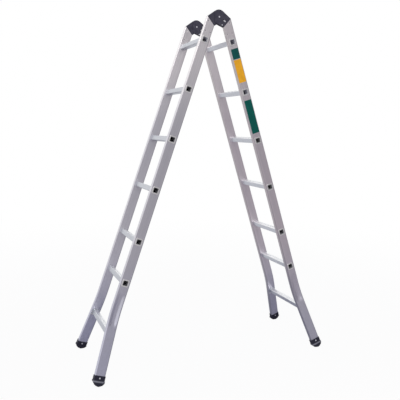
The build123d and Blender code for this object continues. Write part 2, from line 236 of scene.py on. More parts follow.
class Workpiece:
    """A mesh on the bench, shaped with Blender's operators."""

    def __init__(self, body: bpy.types.Object) -> None:
        """Takes an object in hand."""
        self.body = body

    @classmethod
    def _fresh(cls, name: str) -> "Workpiece":
        """Takes the primitive that was just added, with its place in its mesh.

        Args:
            name: Name of the piece.

        Returns:
            The piece.
        """
        piece = cls(bpy.context.object)
        piece.body.name = name
        piece.settle()
        return piece

    @classmethod
    def block(cls, name: str, low: Point, high: Point) -> "Workpiece":
        """Starts from a block.

        Args:
            name: Name of the piece.
            low: Its lowest corner.
            high: Its highest corner.

        Returns:
            The piece.
        """
        bpy.ops.object.select_all(action="DESELECT")
        low, high = Vector(low), Vector(high)
        bpy.ops.mesh.primitive_cube_add(size=1.0, location=(low + high) / 2, scale=high - low)
        return cls._fresh(name)

    @classmethod
    def bar(cls, name: str, radius: float, start: Point, stop: Point, sides: int) -> "Workpiece":
        """Starts from a round bar.

        Args:
            name: Name of the piece.
            radius: Its radius.
            start: Middle of one end.
            stop: Middle of the other end.
            sides: Flats around it.

        Returns:
            The piece.
        """
        bpy.ops.object.select_all(action="DESELECT")
        way = Vector(stop) - Vector(start)
        turn = way.to_track_quat("Z", "Y").to_euler()
        middle = (Vector(start) + Vector(stop)) / 2
        size = {"radius": radius, "depth": way.length, "vertices": sides}
        bpy.ops.mesh.primitive_cylinder_add(**size, location=middle, rotation=turn)
        return cls._fresh(name)

    @classmethod
    def drill(cls, radius: float, spot: Vector, reach: float = OVERSHOOT) -> "Workpiece":
        """Starts from what a drill along Y takes away to both sides of a spot."""
        return cls.bar("hole", radius, spot - reach * Y_AXIS, spot + reach * Y_AXIS, sides=24)

    @classmethod
    def ball(cls, name: str, radii: Point, centre: Point, rings: int) -> "Workpiece":
        """Starts from a ball or an ellipsoid with its poles along Y.

        Args:
            name: Name of the piece.
            radii: Its radius along each axis.
            centre: Its middle.
            rings: Rings from pole to pole.

        Returns:
            The piece.
        """
        bpy.ops.object.select_all(action="DESELECT")
        count = {"segments": 2 * rings, "ring_count": rings}
        turned = {"rotation": (math.pi / 2, 0.0, 0.0), "scale": (radii[0], radii[2], radii[1])}
        bpy.ops.mesh.primitive_uv_sphere_add(**count, **turned, radius=1.0, location=centre)
        return cls._fresh(name)

    def hold(self) -> None:
        """Makes this the only selected object, and the active one."""
        bpy.ops.object.select_all(action="DESELECT")
        self.body.select_set(True)
        bpy.context.view_layer.objects.active = self.body

    def settle(self, matrix: Matrix | None = None) -> "Workpiece":
        """Moves the piece, and puts its place into its mesh.

        Args:
            matrix: The move, or none where the object already has its place.

        Returns:
            The piece.
        """
        self.hold()
        if matrix is not None:
            self.body.matrix_world = matrix
        bpy.ops.object.transform_apply(location=True, rotation=True, scale=True)
        return self

    def pick(self, element: Element, test: Callable[..., bool]) -> None:
        """Opens the mesh in edit mode with what passes a test selected.

        Args:
            element: What to select.
            test: Takes a vertex's place, an edge's middle and direction, or a face's middle and normal.
        """
        mesh = self.body.data
        for group in (mesh.vertices, mesh.edges, mesh.polygons):
            group.foreach_set("select", [False] * len(group))
        if element is Element.VERT:
            for vertex in mesh.vertices:
                vertex.select = test(vertex.co)
        elif element is Element.EDGE:
            for edge in mesh.edges:
                start, stop = (mesh.vertices[index].co for index in edge.vertices)
                edge.select = test((start + stop) / 2, (stop - start).normalized())
        else:
            for face in mesh.polygons:
                face.select = test(face.center, face.normal)
        self.hold()
        bpy.context.tool_settings.mesh_select_mode = element.value
        bpy.ops.object.mode_set(mode="EDIT")

    def pick_all(self) -> None:
        """Opens the mesh in edit mode with all of it selected."""
        self.pick(Element.FACE, lambda place, facing: True)

    def close(self) -> "Workpiece":
        """Leaves edit mode."""
        bpy.ops.object.mode_set(mode="OBJECT")
        return self

    def slice(self, points: Iterable[Vector], normal: Vector) -> None:
        """Cuts new edges across the mesh.

        Args:
            points: A point on each cutting plane.
            normal: Normal of the planes.
        """
        self.pick_all()
        for point in points:
            bpy.ops.mesh.select_all(action="SELECT")
            bpy.ops.mesh.bisect(plane_co=point, plane_no=normal)
        self.close()

    def trim(self, point: Vector, normal: Vector, fill: bool = True) -> "Workpiece":
        """Cuts off what lies on the side of a plane that its normal points to.

        Args:
            point: A point on the plane.
            normal: Its normal.
            fill: Whether the cut gets a face.

        Returns:
            The piece.
        """
        self.pick_all()
        bpy.ops.mesh.bisect(plane_co=point, plane_no=normal, use_fill=fill, clear_outer=True)
        return self.close()

    def open_ends(self, axis: Vector) -> None:
        """Takes away the faces that face along an axis.

        Args:
            axis: The axis.
        """
        self.pick(Element.FACE, lambda place, facing: abs(facing.dot(axis)) > ALIGNED)
        bpy.ops.mesh.delete(type="FACE")
        self.close()

    def round_edges(self, test: Callable[..., bool], radius: float, segments: int) -> "Workpiece":
        """Rounds the edges that pass a test.

        Args:
            test: Takes an edge's middle and direction.
            radius: Size of the rounding.
            segments: Strips across it.

        Returns:
            The piece.
        """
        self.pick(Element.EDGE, test)
        bpy.ops.mesh.bevel(offset=radius, offset_type="OFFSET", segments=segments, affect="EDGES")
        return self.close()

    def round_along(self, axis: Vector, radius: float, segments: int) -> None:
        """Rounds the edges that run along an axis, as round_edges does."""
        self.round_edges(lambda middle, way: abs(way.dot(axis)) > ALIGNED, radius, segments)

    def sink(self, test: Callable[..., bool], move: Vector) -> None:
        """Extrudes the faces that pass a test.

        Args:
            test: Takes a face's middle and normal.
            move: How far they go.
        """
        self.pick(Element.FACE, test)
        bpy.ops.mesh.extrude_region_move(TRANSFORM_OT_translate={"value": move})
        self.close()

    def press(self, test: Callable[..., bool], move: Vector, reach: float) -> None:
        """Pushes vertices and takes their neighbours along.

        Args:
            test: Takes a vertex's place.
            move: How far they go.
            reach: How far around them the push is felt.
        """
        self.pick(Element.VERT, test)
        soft = {"use_proportional_edit": True, "proportional_edit_falloff": "SMOOTH"}
        bpy.ops.transform.translate(value=move, proportional_size=reach, **soft)
        self.close()

    def clean(self, distance: float = 1e-6) -> "Workpiece":
        """Merges doubles and turns all faces outwards.

        Args:
            distance: How close doubles are.

        Returns:
            The piece.
        """
        self.pick_all()
        bpy.ops.mesh.remove_doubles(threshold=distance)
        bpy.ops.mesh.normals_make_consistent(inside=False)
        return self.close()

    def fuse(self, distance: float = 1e-4) -> "Workpiece":
        """Merges points that lie together and takes out the edges across flats.

        Args:
            distance: How close the points are.

        Returns:
            The piece.
        """
        self.pick_all()
        bpy.ops.mesh.remove_doubles(threshold=distance)
        bpy.ops.mesh.dissolve_limited(angle_limit=FLAT)
        return self.close()

    def line(self, test: Callable[..., bool], number: int = 1) -> None:
        """Gives the faces that pass a test another of the piece's finishes.

        Args:
            test: Takes a face's middle and normal.
            number: The finish, counted from 0.
        """
        while len(self.body.data.materials) <= number:
            self.body.data.materials.append(None)
        self.pick(Element.FACE, test)
        self.body.active_material_index = number
        bpy.ops.object.material_slot_assign()
        self.close()

    def modify(self, kind: str, **settings: Any) -> "Workpiece":
        """Adds a modifier and applies it.

        Args:
            kind: The modifier's type.
            settings: Its properties.

        Returns:
            The piece.
        """
        self.hold()
        modifier = self.body.modifiers.new(kind.lower(), kind)
        for key, setting in settings.items():
            setattr(modifier, key, setting)
        bpy.ops.object.modifier_apply(modifier=modifier.name)
        return self

    def wall(self, thickness: float) -> "Workpiece":
        """Gives a shell its wall, inward from its faces."""
        return self.modify("SOLIDIFY", thickness=thickness, offset=-1.0, use_even_offset=True)

    def soften(self, width: float, segments: int = 2, angle: float = math.radians(40)) -> "Workpiece":
        """Rounds every edge sharper than an angle."""
        sharp = {"limit_method": "ANGLE", "angle_limit": angle, "use_clamp_overlap": False}
        return self.modify("BEVEL", width=width, segments=segments, **sharp)

    def combine(self, operation: str, *others: "Workpiece") -> "Workpiece":
        """Unites, subtracts or intersects other pieces, which are used up.

        Args:
            operation: UNION, DIFFERENCE or INTERSECT.
            others: The other pieces.

        Returns:
            The piece.
        """
        for other in others:
            self.modify("BOOLEAN", operation=operation, object=other.body, solver="EXACT")
            bpy.data.objects.remove(other.body)
        return self

    def join(self, *others: "Workpiece") -> "Workpiece":
        """Makes other pieces part of this one, as separate shells without finishes.

        Args:
            others: The other pieces, which are used up.

        Returns:
            The piece.
        """
        self.hold()
        for other in others:
            other.body.select_set(True)
        bpy.ops.object.join()
        return self

    def twin(self, matrix: Matrix) -> "Workpiece":
        """Makes a copy with its own mesh.

        Args:
            matrix: Where the copy goes.

        Returns:
            The copy. A mirrored one has its faces turned outwards.
        """
        body = self.body.copy()
        body.data = self.body.data.copy()
        bpy.context.scene.collection.objects.link(body)
        copy = Workpiece(body).settle(matrix)
        return copy.clean() if matrix.determinant() < 0.0 else copy

    def smooth(self, angle: float = math.radians(35)) -> "Workpiece":
        """Shades rounds smoothly and keeps flats flat.

        Args:
            angle: Angle of an edge above which it stays sharp.

        Returns:
            The piece.
        """
        self.hold()
        bpy.ops.object.shade_smooth_by_angle(angle=angle)
        return self.modify("WEIGHTED_NORMAL", keep_sharp=True)

    def discard(self) -> None:
        """Throws the piece away."""
        bpy.data.objects.remove(self.body)

    def install(
        self, name: str, body: str, nodes: list[str], slot: str, *finishes: Material
    ) -> None:
        """Finishes the piece in its place.

        Args:
            name: Its name.
            body: The body that it rides on.
            nodes: The solids that it stands for.
            slot: The record's material slot; not used.
            finishes: Its finish, and the others that it has been lined with.
        """
        self.body.name = name
        slots = self.body.data.materials
        for place, finish in enumerate(finishes):
            if place < len(slots):
                slots[place] = finish
            else:
                slots.append(finish)
        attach(self.body, body)
        if nodes:
            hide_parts(*nodes)
        LOG.info("%s: %d faces on %s", name, len(self.body.data.polygons), body)


@dataclass
class Stile:
    """A near stile: kinked tube with a slanted top, rung sockets and a pressed hollow at the kink.

    Attributes:
        layout: Places shared with the other pieces.
        corner: Rounding of the tube's corners.
        top_edge: Rounding of the slanted top's edges.
        socket: Side of a rung's socket.
        socket_corner: Rounding of the socket's corners.
        hollow: Strips of the hollow, as first drop, last drop and push.
        hollow_floor: Half of the width that is pushed.
        hollow_reach: How far beyond it the push is felt.
        hollow_side: Share of the tube's depth from its middle at which the outer face's side begins.
        ring: Distance between the rings round the tube at the kink.
        rings: How many of them lie above the kink, and how many below.
        column: Distance between the lines along the tube.
        columns: How many of them lie to each side of the tube's middle.
        bend_reach: How far above and below the kink the tube turns.
        dimple: Radius and depth of the dimple around a hinge rivet.
    """

    layout: Layout
    corner: float = 0.004
    top_edge: float = 0.0004
    socket: float = 0.0302
    socket_corner: float = 0.0051
    hollow: tuple[Point, ...] = (
        (1.658, 1.826, 0.0014),
        (1.668, 1.822, 0.0018),
        (1.684, 1.816, 0.0017),
        (1.704, 1.808, 0.0013),
    )
    hollow_floor: float = 0.011
    hollow_reach: float = 0.0140
    hollow_side: float = 0.2
    ring: float = 0.008
    rings: tuple[int, int] = (18, 10)
    column: float = 0.004
    columns: int = 6
    bend_reach: float = 0.064
    dimple: Span = (0.0055, 0.0009)

    def model(self) -> Workpiece:
        """Models the near stile.

        Returns:
            The stile in the leg frame.
        """
        lay = self.layout
        tube = self._kinked_tube()
        self._press_hollow(tube)
        tube.trim(lay.cut_point, lay.cut_normal, fill=False).wall(lay.wall)
        tube.round_edges(
            lambda middle, way: abs((middle - lay.cut_point).dot(lay.cut_normal)) < TOUCH
            and abs(way.dot(lay.cut_normal)) < SQUARE,
            self.top_edge,
            segments=2,
        )
        return tube.combine("DIFFERENCE", self._sockets(), self._dimples(), self._holes())

    def _kinked_tube(self) -> Workpiece:
        """Makes the tube's outer skin, turned outward below the kink.

        Returns:
            The open skin.
        """
        lay = self.layout
        low = (lay.edge, -lay.flight / 2, -lay.bend - lay.run)
        tube = Workpiece.block("stile", low, (lay.edge + lay.width, lay.depth - lay.flight / 2, 0.0))
        tube.open_ends(Z_AXIS)
        tube.round_along(Z_AXIS, self.corner, segments=4)
        above, below = self.rings
        drops = [lay.bend + (step + 0.5) * self.ring for step in range(-above, below)]
        tube.slice([-drop * Z_AXIS for drop in drops], Z_AXIS)
        steps = range(-self.columns, self.columns + 1)
        tube.slice([(lay.centre_x + step * self.column) * X_AXIS for step in steps], X_AXIS)
        turning = [drop for drop in reversed(drops) if abs(drop - lay.bend) < self.bend_reach]
        for drop in turning:
            tube.pick(Element.VERT, lambda place: place.z < -drop - TOUCH)
            centre = (lay.centre_x, -lay.centre_y, -drop)
            bpy.ops.transform.rotate(value=lay.flare / len(turning), orient_axis="X", center_override=centre)
            tube.close()
        return tube

    def _press_hollow(self, tube: Workpiece) -> None:
        """Presses the outer face in at the kink, in strips that grow deeper towards it.

        Args:
            tube: The tube's outer skin.
        """
        lay = self.layout
        outer = -lay.centre_y - self.hollow_side * lay.depth
        for first, last, push in self.hollow:
            tube.press(
                lambda place: abs(place.x - lay.centre_x) < self.hollow_floor
                and place.y < outer
                and first < -place.z < last,
                push * Y_AXIS,
                self.hollow_reach,
            )

    def _sockets(self) -> Workpiece:
        """Makes what the rung sockets take away.

        Returns:
            One shell for each rung that passes through.
        """
        lay = self.layout
        half = self.socket / 2
        low = (lay.centre_x - half, -lay.flight / 2 - lay.depth, -half)
        socket = Workpiece.block("sockets", low, (lay.centre_x + half, 2 * lay.depth - lay.flight / 2, half))
        socket.round_along(Y_AXIS, self.socket_corner, segments=5)
        others = [socket.twin(Matrix.Translation(-drop * Z_AXIS)) for drop in lay.rungs[1:]]
        return socket.settle(Matrix.Translation(-lay.rungs[0] * Z_AXIS)).join(*others)

    def _dimples(self) -> Workpiece:
        """Makes what the dimples around the hinge rivets take away.

        Returns:
            A ball at both ends of each rivet.
        """
        lay = self.layout
        across, deep = self.dimple
        radius = (across**2 + deep**2) / (2 * deep)
        offset = lay.depth / 2 + radius - deep
        balls = []
        for spot in lay.rivet_spots:
            for end in (-1.0, 1.0):
                centre = spot + (end * offset - lay.centre_y) * Y_AXIS
                balls.append(Workpiece.ball("dimple", (radius, radius, radius), centre, rings=48))
        return balls[0].join(*balls[1:])

    def _holes(self) -> Workpiece:
        """Makes what the holes of the hinge rivets take away.

        Returns:
            One shell for each rivet.
        """
        lay = self.layout
        spots = [spot - lay.centre_y * Y_AXIS for spot in lay.rivet_spots]
        bars = [Workpiece.drill(lay.rivet_hole, spot) for spot in spots]
        return bars[0].join(*bars[1:])


@dataclass
class Rungs:
    """The square rungs of a flight, drawn about their own axis.

    Attributes:
        layout: Places shared with the other pieces.
        size: Side of the tube.
        corner: Rounding of its corners.
        wall: Its wall.
        grooves: Places of the grip grooves across the tread.
        groove: Width and depth of a groove.
        grip_margin: Distance from a groove's end to the stile.
        bottom_margin: The same on the bottom rung, from the middle of the straight stile.
        tread_slope: How far up a face points to count as tread, as a cosine.
        collar: Width of the swaged collar.
        collar_edge: Rounding of the collar's rim.
        bore_edge: Rounding of the mouth inside it.
        flange: Width, height and thickness of the bottom rung's end plate.
        flange_corner: Rounding of the plate's corners.
        flange_edge: Rounding of its rim.
        flange_rivets: Distance between the plate's rivets.
        seat: How far the bottom rung's tube ends before the stile, inside the plate.
    """

    layout: Layout
    size: float = 0.030
    corner: float = 0.005
    wall: float = 0.0016
    grooves: tuple[float, ...] = (-0.005, 0.0, 0.005)
    groove: Span = (0.002, 0.0007)
    grip_margin: float = 0.004
    bottom_margin: float = 0.020
    tread_slope: float = 0.7
    collar: float = 0.041
    collar_edge: float = 0.0007
    bore_edge: float = 0.0006
    flange: Point = (0.051, 0.040, 0.0022)
    flange_corner: float = 0.005
    flange_edge: float = 0.0006
    flange_rivets: float = 0.041
    seat: float = 0.0005

    def _tube(self, reach: float, grip: float) -> Workpiece:
        """Makes a tube's outer skin with grip grooves along its tread.

        Args:
            reach: Half of its length.
            grip: Half of the grooves' length.

        Returns:
            The open skin.
        """
        half = self.size / 2
        tube = Workpiece.block("rung", (-half, -reach, -half), (half, reach, half))
        tube.open_ends(Y_AXIS)
        tube.round_along(Y_AXIS, self.corner, segments=4)
        wide, deep = self.groove
        lips = [place + side * wide / 2 for place in self.grooves for side in (-1.0, 1.0)]
        tube.slice([lip * X_AXIS for lip in lips], X_AXIS)
        tube.slice([grip * Y_AXIS, -grip * Y_AXIS], Y_AXIS)
        tube.sink(
            lambda place, facing: facing.z > ALIGNED
            and abs(place.y) < grip
            and min(abs(place.x - groove) for groove in self.grooves) < wide / 2,
            -deep * Z_AXIS,
        )
        return tube

    def model_through(self) -> Workpiece:
        """Models a rung that passes through both stiles and is swaged over their outer faces.

        Returns:
            The rung, lined with the finish of its bore and that of its tread.
        """
        reach = self.layout.flight / 2
        tube = self._tube(reach, reach - self.layout.depth - self.grip_margin)
        grow = self.collar / self.size
        for end in (-reach, reach):
            tube.pick(Element.EDGE, lambda middle, way: abs(middle.y - end) < TOUCH)
            bpy.ops.mesh.extrude_edges_move()
            bpy.ops.transform.resize(value=(grow, 1.0, grow), center_override=(0.0, end, 0.0))
            tube.close()
        tube.wall(self.wall)
        half = self.size / 2
        self._round_lip(tube, lambda away: away < half, self.bore_edge, 2)
        between = (self.size + self.collar) / 4
        self._round_lip(tube, lambda away: away > between, self.collar_edge, 3)
        tube.line(
            lambda place, facing: max(abs(place.x), abs(place.z)) < half - self.wall / 2
            and facing.x * place.x + facing.z * place.z < 0.0
        )
        self._mark_tread(tube)
        return tube

    def _round_lip(self, tube: Workpiece, test: Callable[..., bool], radius: float, segments: int) -> None:
        """Rounds edges around the collars' outer faces.

        Args:
            tube: The rung.
            test: Takes an edge's distance from the rung's axis.
            radius: Size of the rounding.
            segments: Strips across it.
        """
        proud = (self.layout.flight + self.wall) / 2
        tube.round_edges(
            lambda middle, way: abs(middle.y) > proud
            and test(max(abs(middle.x), abs(middle.z)))
            and abs(way.y) < SQUARE,
            radius,
            segments,
        )

    def _mark_tread(self, tube: Workpiece) -> None:
        """Gives the tread on top of a tube its own finish, which is lighter as painted light from above."""
        top = self.size / 2 - 2 * self.groove[1]
        tube.line(
            lambda place, facing: place.z > top and facing.z > self.tread_slope and abs(facing.y) < SQUARE, 2
        )

    @property
    def inward(self) -> Vector:
        """Normal of the near stile's inner wall at the bottom rung."""
        return Vector((0.0, math.cos(self.layout.flare), -math.sin(self.layout.flare)))

    def wall_point(self) -> Vector:
        """Gives where the near stile's inner wall crosses the bottom rung's axis.

        Returns:
            The point, about the middle of that axis.
        """
        lay = self.layout
        run = (lay.bottom_rung - lay.bend) * math.tan(lay.flare)
        return Vector((0.0, -lay.centre_y - run + lay.depth / 2 / math.cos(lay.flare), 0.0))

    def wall_frame(self) -> Matrix:
        """Gives the frame on that wall, with Y into the flight, about the middle of the rung's axis."""
        return Matrix.Translation(self.wall_point()) @ Matrix.Rotation(-self.layout.flare, 4, "X")

    def model_bottom(self) -> Workpiece:
        """Models the bottom rung with a plate at each end, set against the flared stiles.

        Returns:
            The rung, lined with the finish of its tread.
        """
        lay = self.layout
        tube = self._tube(lay.flight / 2 + lay.depth, lay.centre_y - self.bottom_margin)
        across = Matrix.Scale(-1.0, 4, Y_AXIS)
        point, out = self.wall_point() + self.seat * self.inward, -self.inward
        tube.trim(point, out, fill=False)
        tube.trim(across @ point, across @ out, fill=False)
        tube.wall(self.wall)
        wide, high, thick = self.flange
        plate = Workpiece.block("plate", (-wide / 2, 0.0, -high / 2), (wide / 2, thick, high / 2))
        plate.round_along(Y_AXIS, self.flange_corner, segments=5)
        plate.round_edges(
            lambda middle, way: middle.y > thick - TOUCH and abs(way.y) < SQUARE, self.flange_edge, segments=2
        )
        plate.settle(self.wall_frame())
        tube.combine("UNION", plate, plate.twin(across))
        self._mark_tread(tube)
        return tube


@dataclass
class Rivet:
    """A rivet with domed heads, along Y and centred on its grip.

    Attributes:
        grip: Distance between the heads' seats.
        shank: Radius of the shank.
        head: Radius of a head.
        height: Height of a head.
    """

    grip: float
    shank: float = 0.0024
    head: float = 0.0044
    height: float = 0.0012

    def model(self) -> Workpiece:
        """Models one half of the rivet, and joins it to its turned copy.

        Returns:
            The rivet.
        """
        seat = self.grip / 2
        dome = Workpiece.ball("rivet", (self.head, self.height, self.head), (0.0, seat, 0.0), rings=17)
        dome.trim(seat * Y_AXIS, -Y_AXIS)
        dome.pick(Element.FACE, lambda place, facing: facing.y < -ALIGNED)
        bpy.ops.mesh.inset(thickness=self.head - self.shank)
        bpy.ops.mesh.extrude_region_move(TRANSFORM_OT_translate={"value": -seat * Y_AXIS})
        bpy.ops.mesh.delete(type="FACE")
        dome.close()
        return dome.join(dome.twin(Matrix.Rotation(math.pi, 4, "Z"))).clean(TOUCH)


@dataclass
class DishedRivet:
    """A rivet along Y whose pressed ends lie below the stile's faces.

    Attributes:
        length: Its length.
        radius: Its radius.
        dish: Radius and depth of the hollow in each end.
    """

    length: float = 0.0238
    radius: float = 0.00245
    dish: Span = (0.0014, 0.0005)

    def model(self) -> Workpiece:
        """Models the rivet.

        Returns:
            The rivet, about its middle.
        """
        half = self.length / 2
        across, deep = self.dish
        bar = Workpiece.bar("rivet", self.radius, (0.0, -half, 0.0), (0.0, half, 0.0), sides=24)
        for end in (-1.0, 1.0):
            bar.pick(Element.FACE, lambda place, facing: facing.y * end > ALIGNED)
            bpy.ops.mesh.inset(thickness=self.radius - across)
            bpy.ops.mesh.inset(thickness=across / 2)
            bpy.ops.transform.translate(value=-end * deep * Y_AXIS)
            bar.close()
        return bar


@dataclass
class Foot:
    """A near foot: a sleeve over the stile's end on a half-round sole that stands out around it.

    Attributes:
        layout: Places shared with the other pieces.
        sleeve: Width, depth and height of the sleeve.
        sleeve_corner: Rounding of the sleeve's corners.
        root: How far the sleeve runs into the sole.
        pocket: Width, depth and height of what holds the stile's end.
        pocket_corner: Rounding of the pocket's corners.
        edge: Rounding of the foot's edges.
        reach: Half of the sole's width.
        bulge: How far the sole's sides bulge past the sleeve.
        radius: Radius of the round tread.
        ledge: Height of the sole's upper side over the tread's axis.
        flat: Depth of the flat that stands on the floor.
        grooves: Angles of the grip grooves around the tread, in degrees.
        groove: Width and depth of a groove.
        cutter: Reach of the tread's cutters to both sides of its middle.
        rivet_drop: Depth of the rivet below the sleeve's rim.
    """

    layout: Layout
    sleeve: Point = (0.062, 0.030, 0.025)
    sleeve_corner: float = 0.0042
    root: float = 0.002
    pocket: Point = (0.0572, 0.0252, 0.022)
    pocket_corner: float = 0.0036
    edge: float = 0.0007
    reach: float = 0.0324
    bulge: float = 0.0036
    radius: float = 0.039375
    ledge: float = -0.016375
    flat: float = 0.0012
    grooves: tuple[float, ...] = (-44.0, -28.0, -12.0, 42.0)
    groove: Span = (0.003, 0.0014)
    cutter: float = 0.08
    rivet_drop: float = 0.013

    @property
    def rim(self) -> float:
        """Height of the sleeve's rim over the tread's axis."""
        return self.ledge + self.sleeve[2]

    @property
    def frame(self) -> Matrix:
        """Frame on the tread's axis, with Z up the flared stile."""
        down = self.layout.run + self.rim - self.pocket[2]
        return self.layout.flared @ Matrix.Translation(-down * Z_AXIS)

    @property
    def rivet_frame(self) -> Matrix:
        """Frame of the foot's rivet, with Y along it."""
        return self.frame @ Matrix.Translation((self.rim - self.rivet_drop) * Z_AXIS)

    def model(self, up: Vector) -> Workpiece:
        """Models the near foot.

        Args:
            up: The floor's normal in the leg frame.

        Returns:
            The foot in the leg frame.
        """
        foot = self._sole(up)
        wide, deep, _ = self.sleeve
        low = (-wide / 2, -deep / 2, self.ledge - self.root)
        sleeve = Workpiece.block("sleeve", low, (wide / 2, deep / 2, self.rim))
        sleeve.round_along(Z_AXIS, self.sleeve_corner, segments=5)
        foot.combine("UNION", sleeve.settle(self.frame))
        wide, deep, high = self.pocket
        low = (-wide / 2, -deep / 2, self.rim - high)
        pocket = Workpiece.block("pocket", low, (wide / 2, deep / 2, self.rim + high))
        pocket.round_along(Z_AXIS, self.pocket_corner, segments=4)
        hole = Workpiece.drill(self.layout.rivet_hole, Vector()).settle(self.rivet_frame)
        foot.combine("DIFFERENCE", pocket.settle(self.frame), hole)
        return foot.soften(self.edge, segments=3)

    def _sole(self, up: Vector) -> Workpiece:
        """Makes the round sole with its bulging sides, grooves and flat.

        Args:
            up: The floor's normal in the leg frame.

        Returns:
            The sole in the leg frame.
        """
        arc = (self.reach**2 + self.bulge**2) / (2 * self.bulge)
        shift = arc - self.sleeve[1] / 2 - self.bulge
        low = -2 * self.radius
        form, other = (
            Workpiece.bar("sole", arc, (0.0, y, low), (0.0, y, self.ledge), sides=384)
            for y in (shift, -shift)
        )
        ends = Workpiece.block("sole", (-self.reach, -arc, 2 * low), (self.reach, arc, 0.0))
        form.combine("INTERSECT", other, ends).settle(self.frame)
        centre = self.frame.to_translation()
        start, stop = centre - self.cutter * Y_AXIS, centre + self.cutter * Y_AXIS
        form.combine("INTERSECT", Workpiece.bar("tread", self.radius, start, stop, sides=128))
        wide, deep = self.groove
        start = (-wide / 2, -self.cutter, -self.radius - deep)
        stop = (wide / 2, self.cutter, -self.radius + deep)
        for angle in self.grooves:
            groove = Workpiece.block("groove", start, stop)
            turn = Matrix.Rotation(math.radians(angle), 4, "Y")
            form.combine("DIFFERENCE", groove.settle(Matrix.Translation(centre) @ turn))
        return form.trim(centre - (self.radius - self.flat) * up, -up)


@dataclass
class Hinge:
    """A near locking hinge about the middle of its stile, before it is set at its end of the pivot line.

    Attributes:
        layout: Places shared with the other pieces.
        lean: Angle of each leg from upright when the ladder stands.
        head: Radius of the round head.
        hub: Radius of the leaf's notched hub.
        lobe: Angle from upright at which the leaf's full head ends over the pivot.
        leaf: Thickness of the leaf.
        cheek: Thickness of a cheek.
        cavity: Depth inside the stile tube.
        tongue: Drop of the tongues' ends.
        tongue_rise: How far a cheek's tongue runs up into its shoulder.
        inset: Distance from the stile's outside to a tongue's side.
        drill: Reach of the drill through the tongues, to both sides of the stile's middle.
        cheek_flat: Distance from the pivot to the cheek's flat side.
        edge: Rounding of the plates' edges.
        excess: Step in thickness between a plate's raw parts, before it is faced off.
        stock: Reach of the block that a shoulder is cut from, in and up, and then out and down.
        bite: How far a plate's sides run into its round instead of grazing it.
        pin: Radius of the pin.
        pin_gap: Gap around the pin.
        pin_edge: Rounding of the pin's ends.
        pin_bright: Radius of the pin's bare end, inside its black rim.
        pin_mark: Width of the slope into the punch mark in the bare end, and its depth.
        proud: How far the pin and bolt stand out of the cheeks.
        lock_angle: Angle of the bolt's line from the leg.
        bolt: Width of the bolt, and its distance from the pivot at both ends.
        bolt_corner: Rounding of the bolt's and the slot's corners.
        bolt_edge: Rounding of the bolt's ends.
        slot: Width of the slot, and its distance from the pivot at both ends.
        notch: Width and depth of the hub's notches.
        spacer_rivet: Place of the rivet beside the leaf.
        spacer: Distance between the cheeks.
        spacer_radius: Radius of that rivet between the cheeks.
        spacer_head: Radius of its heads.
    """

    layout: Layout
    lean: float
    head: float = 0.0415
    hub: float = 0.0325
    lobe: float = math.radians(30.0)
    leaf: float = 0.0134
    cheek: float = 0.0038
    cavity: float = 0.0214
    tongue: float = 0.128
    tongue_rise: float = 0.003
    inset: float = 0.0020
    drill: float = 0.05
    cheek_flat: float = 0.027
    edge: float = 0.0006
    excess: float = 0.001
    stock: Span = (0.06, 0.09)
    bite: float = 0.0001
    pin: float = 0.007
    pin_gap: float = 0.00005
    pin_edge: float = 0.0011
    pin_bright: float = 0.0047
    pin_mark: Span = (0.0008, 0.0006)
    proud: float = 0.0014
    lock_angle: float = math.radians(40.6)
    bolt: Point = (0.008, 0.0333, 0.0473)
    bolt_corner: float = 0.0012
    bolt_edge: float = 0.0007
    slot: Point = (0.0082, 0.0269, 0.0477)
    notch: Span = (0.0088, 0.0056)
    spacer_rivet: Span = (0.005, 0.0485)
    spacer: float = 0.0138
    spacer_radius: float = 0.0032
    spacer_head: float = 0.0036

    def _touch(self, corner: Vector, radius: float, turn: float) -> Vector:
        """Gives where a line from a corner touches a circle about the pivot, on its side 1 or -1."""
        angle = math.atan2(corner.z, corner.x) + turn * math.acos(radius / corner.length)
        return Vector((radius * math.cos(angle), 0.0, radius * math.sin(angle)))

    def _shoulder(self, radius: float, low: float, high: float) -> Workpiece:
        """Makes the wedge between the stile's slanted top and the head.

        Args:
            radius: Circle that its inner side touches.
            low: Its lower side along the pivot line.
            high: Its upper side along the pivot line.

        Returns:
            The wedge.
        """
        lay = self.layout
        inner = Vector((lay.edge, 0.0, -lay.cut[0]))
        outer = Vector((lay.edge + lay.width, 0.0, -lay.cut[1]))
        touches = self._touch(outer, self.head - self.bite, 1.0), self._touch(inner, radius - self.bite, -1.0)
        corners = [inner, outer, *touches]
        less, more = self.stock
        wedge = Workpiece.block("shoulder", (-less, low, -more), (more, high, less))
        for start, stop in zip(corners, corners[1:] + corners[:1]):
            wedge.trim(start, (stop - start).cross(-Y_AXIS))
        return wedge

    def _tongue(self, low: float, high: float, rise: float = 0.0) -> Workpiece:
        """Makes what slides into the stile's top.

        Args:
            low: Its lower side along the pivot line.
            high: Its upper side along the pivot line.
            rise: How far it stands out of the slanted top.

        Returns:
            The tongue.
        """
        lay = self.layout
        start = (lay.edge + self.inset, low, -self.tongue)
        tongue = Workpiece.block("tongue", start, (lay.edge + lay.width - self.inset, high, 0.0))
        tongue.trim(lay.cut_point + rise * lay.cut_normal, lay.cut_normal)
        holes = [Workpiece.drill(lay.rivet_hole, spot, self.drill) for spot in lay.rivet_spots]
        return tongue.combine("DIFFERENCE", *holes)

    @staticmethod
    def _face_off(plate: Workpiece, low: float, high: float) -> None:
        """Cuts a plate to its thickness, between two places along the pivot line."""
        plate.trim(low * Y_AXIS, -Y_AXIS).trim(high * Y_AXIS, Y_AXIS).fuse()

    @staticmethod
    def _disc(radius: float, low: float, high: float) -> Workpiece:
        """Makes a round plate about the pivot, between two places along its line."""
        return Workpiece.bar("disc", radius, (0.0, low, 0.0), (0.0, high, 0.0), sides=128)

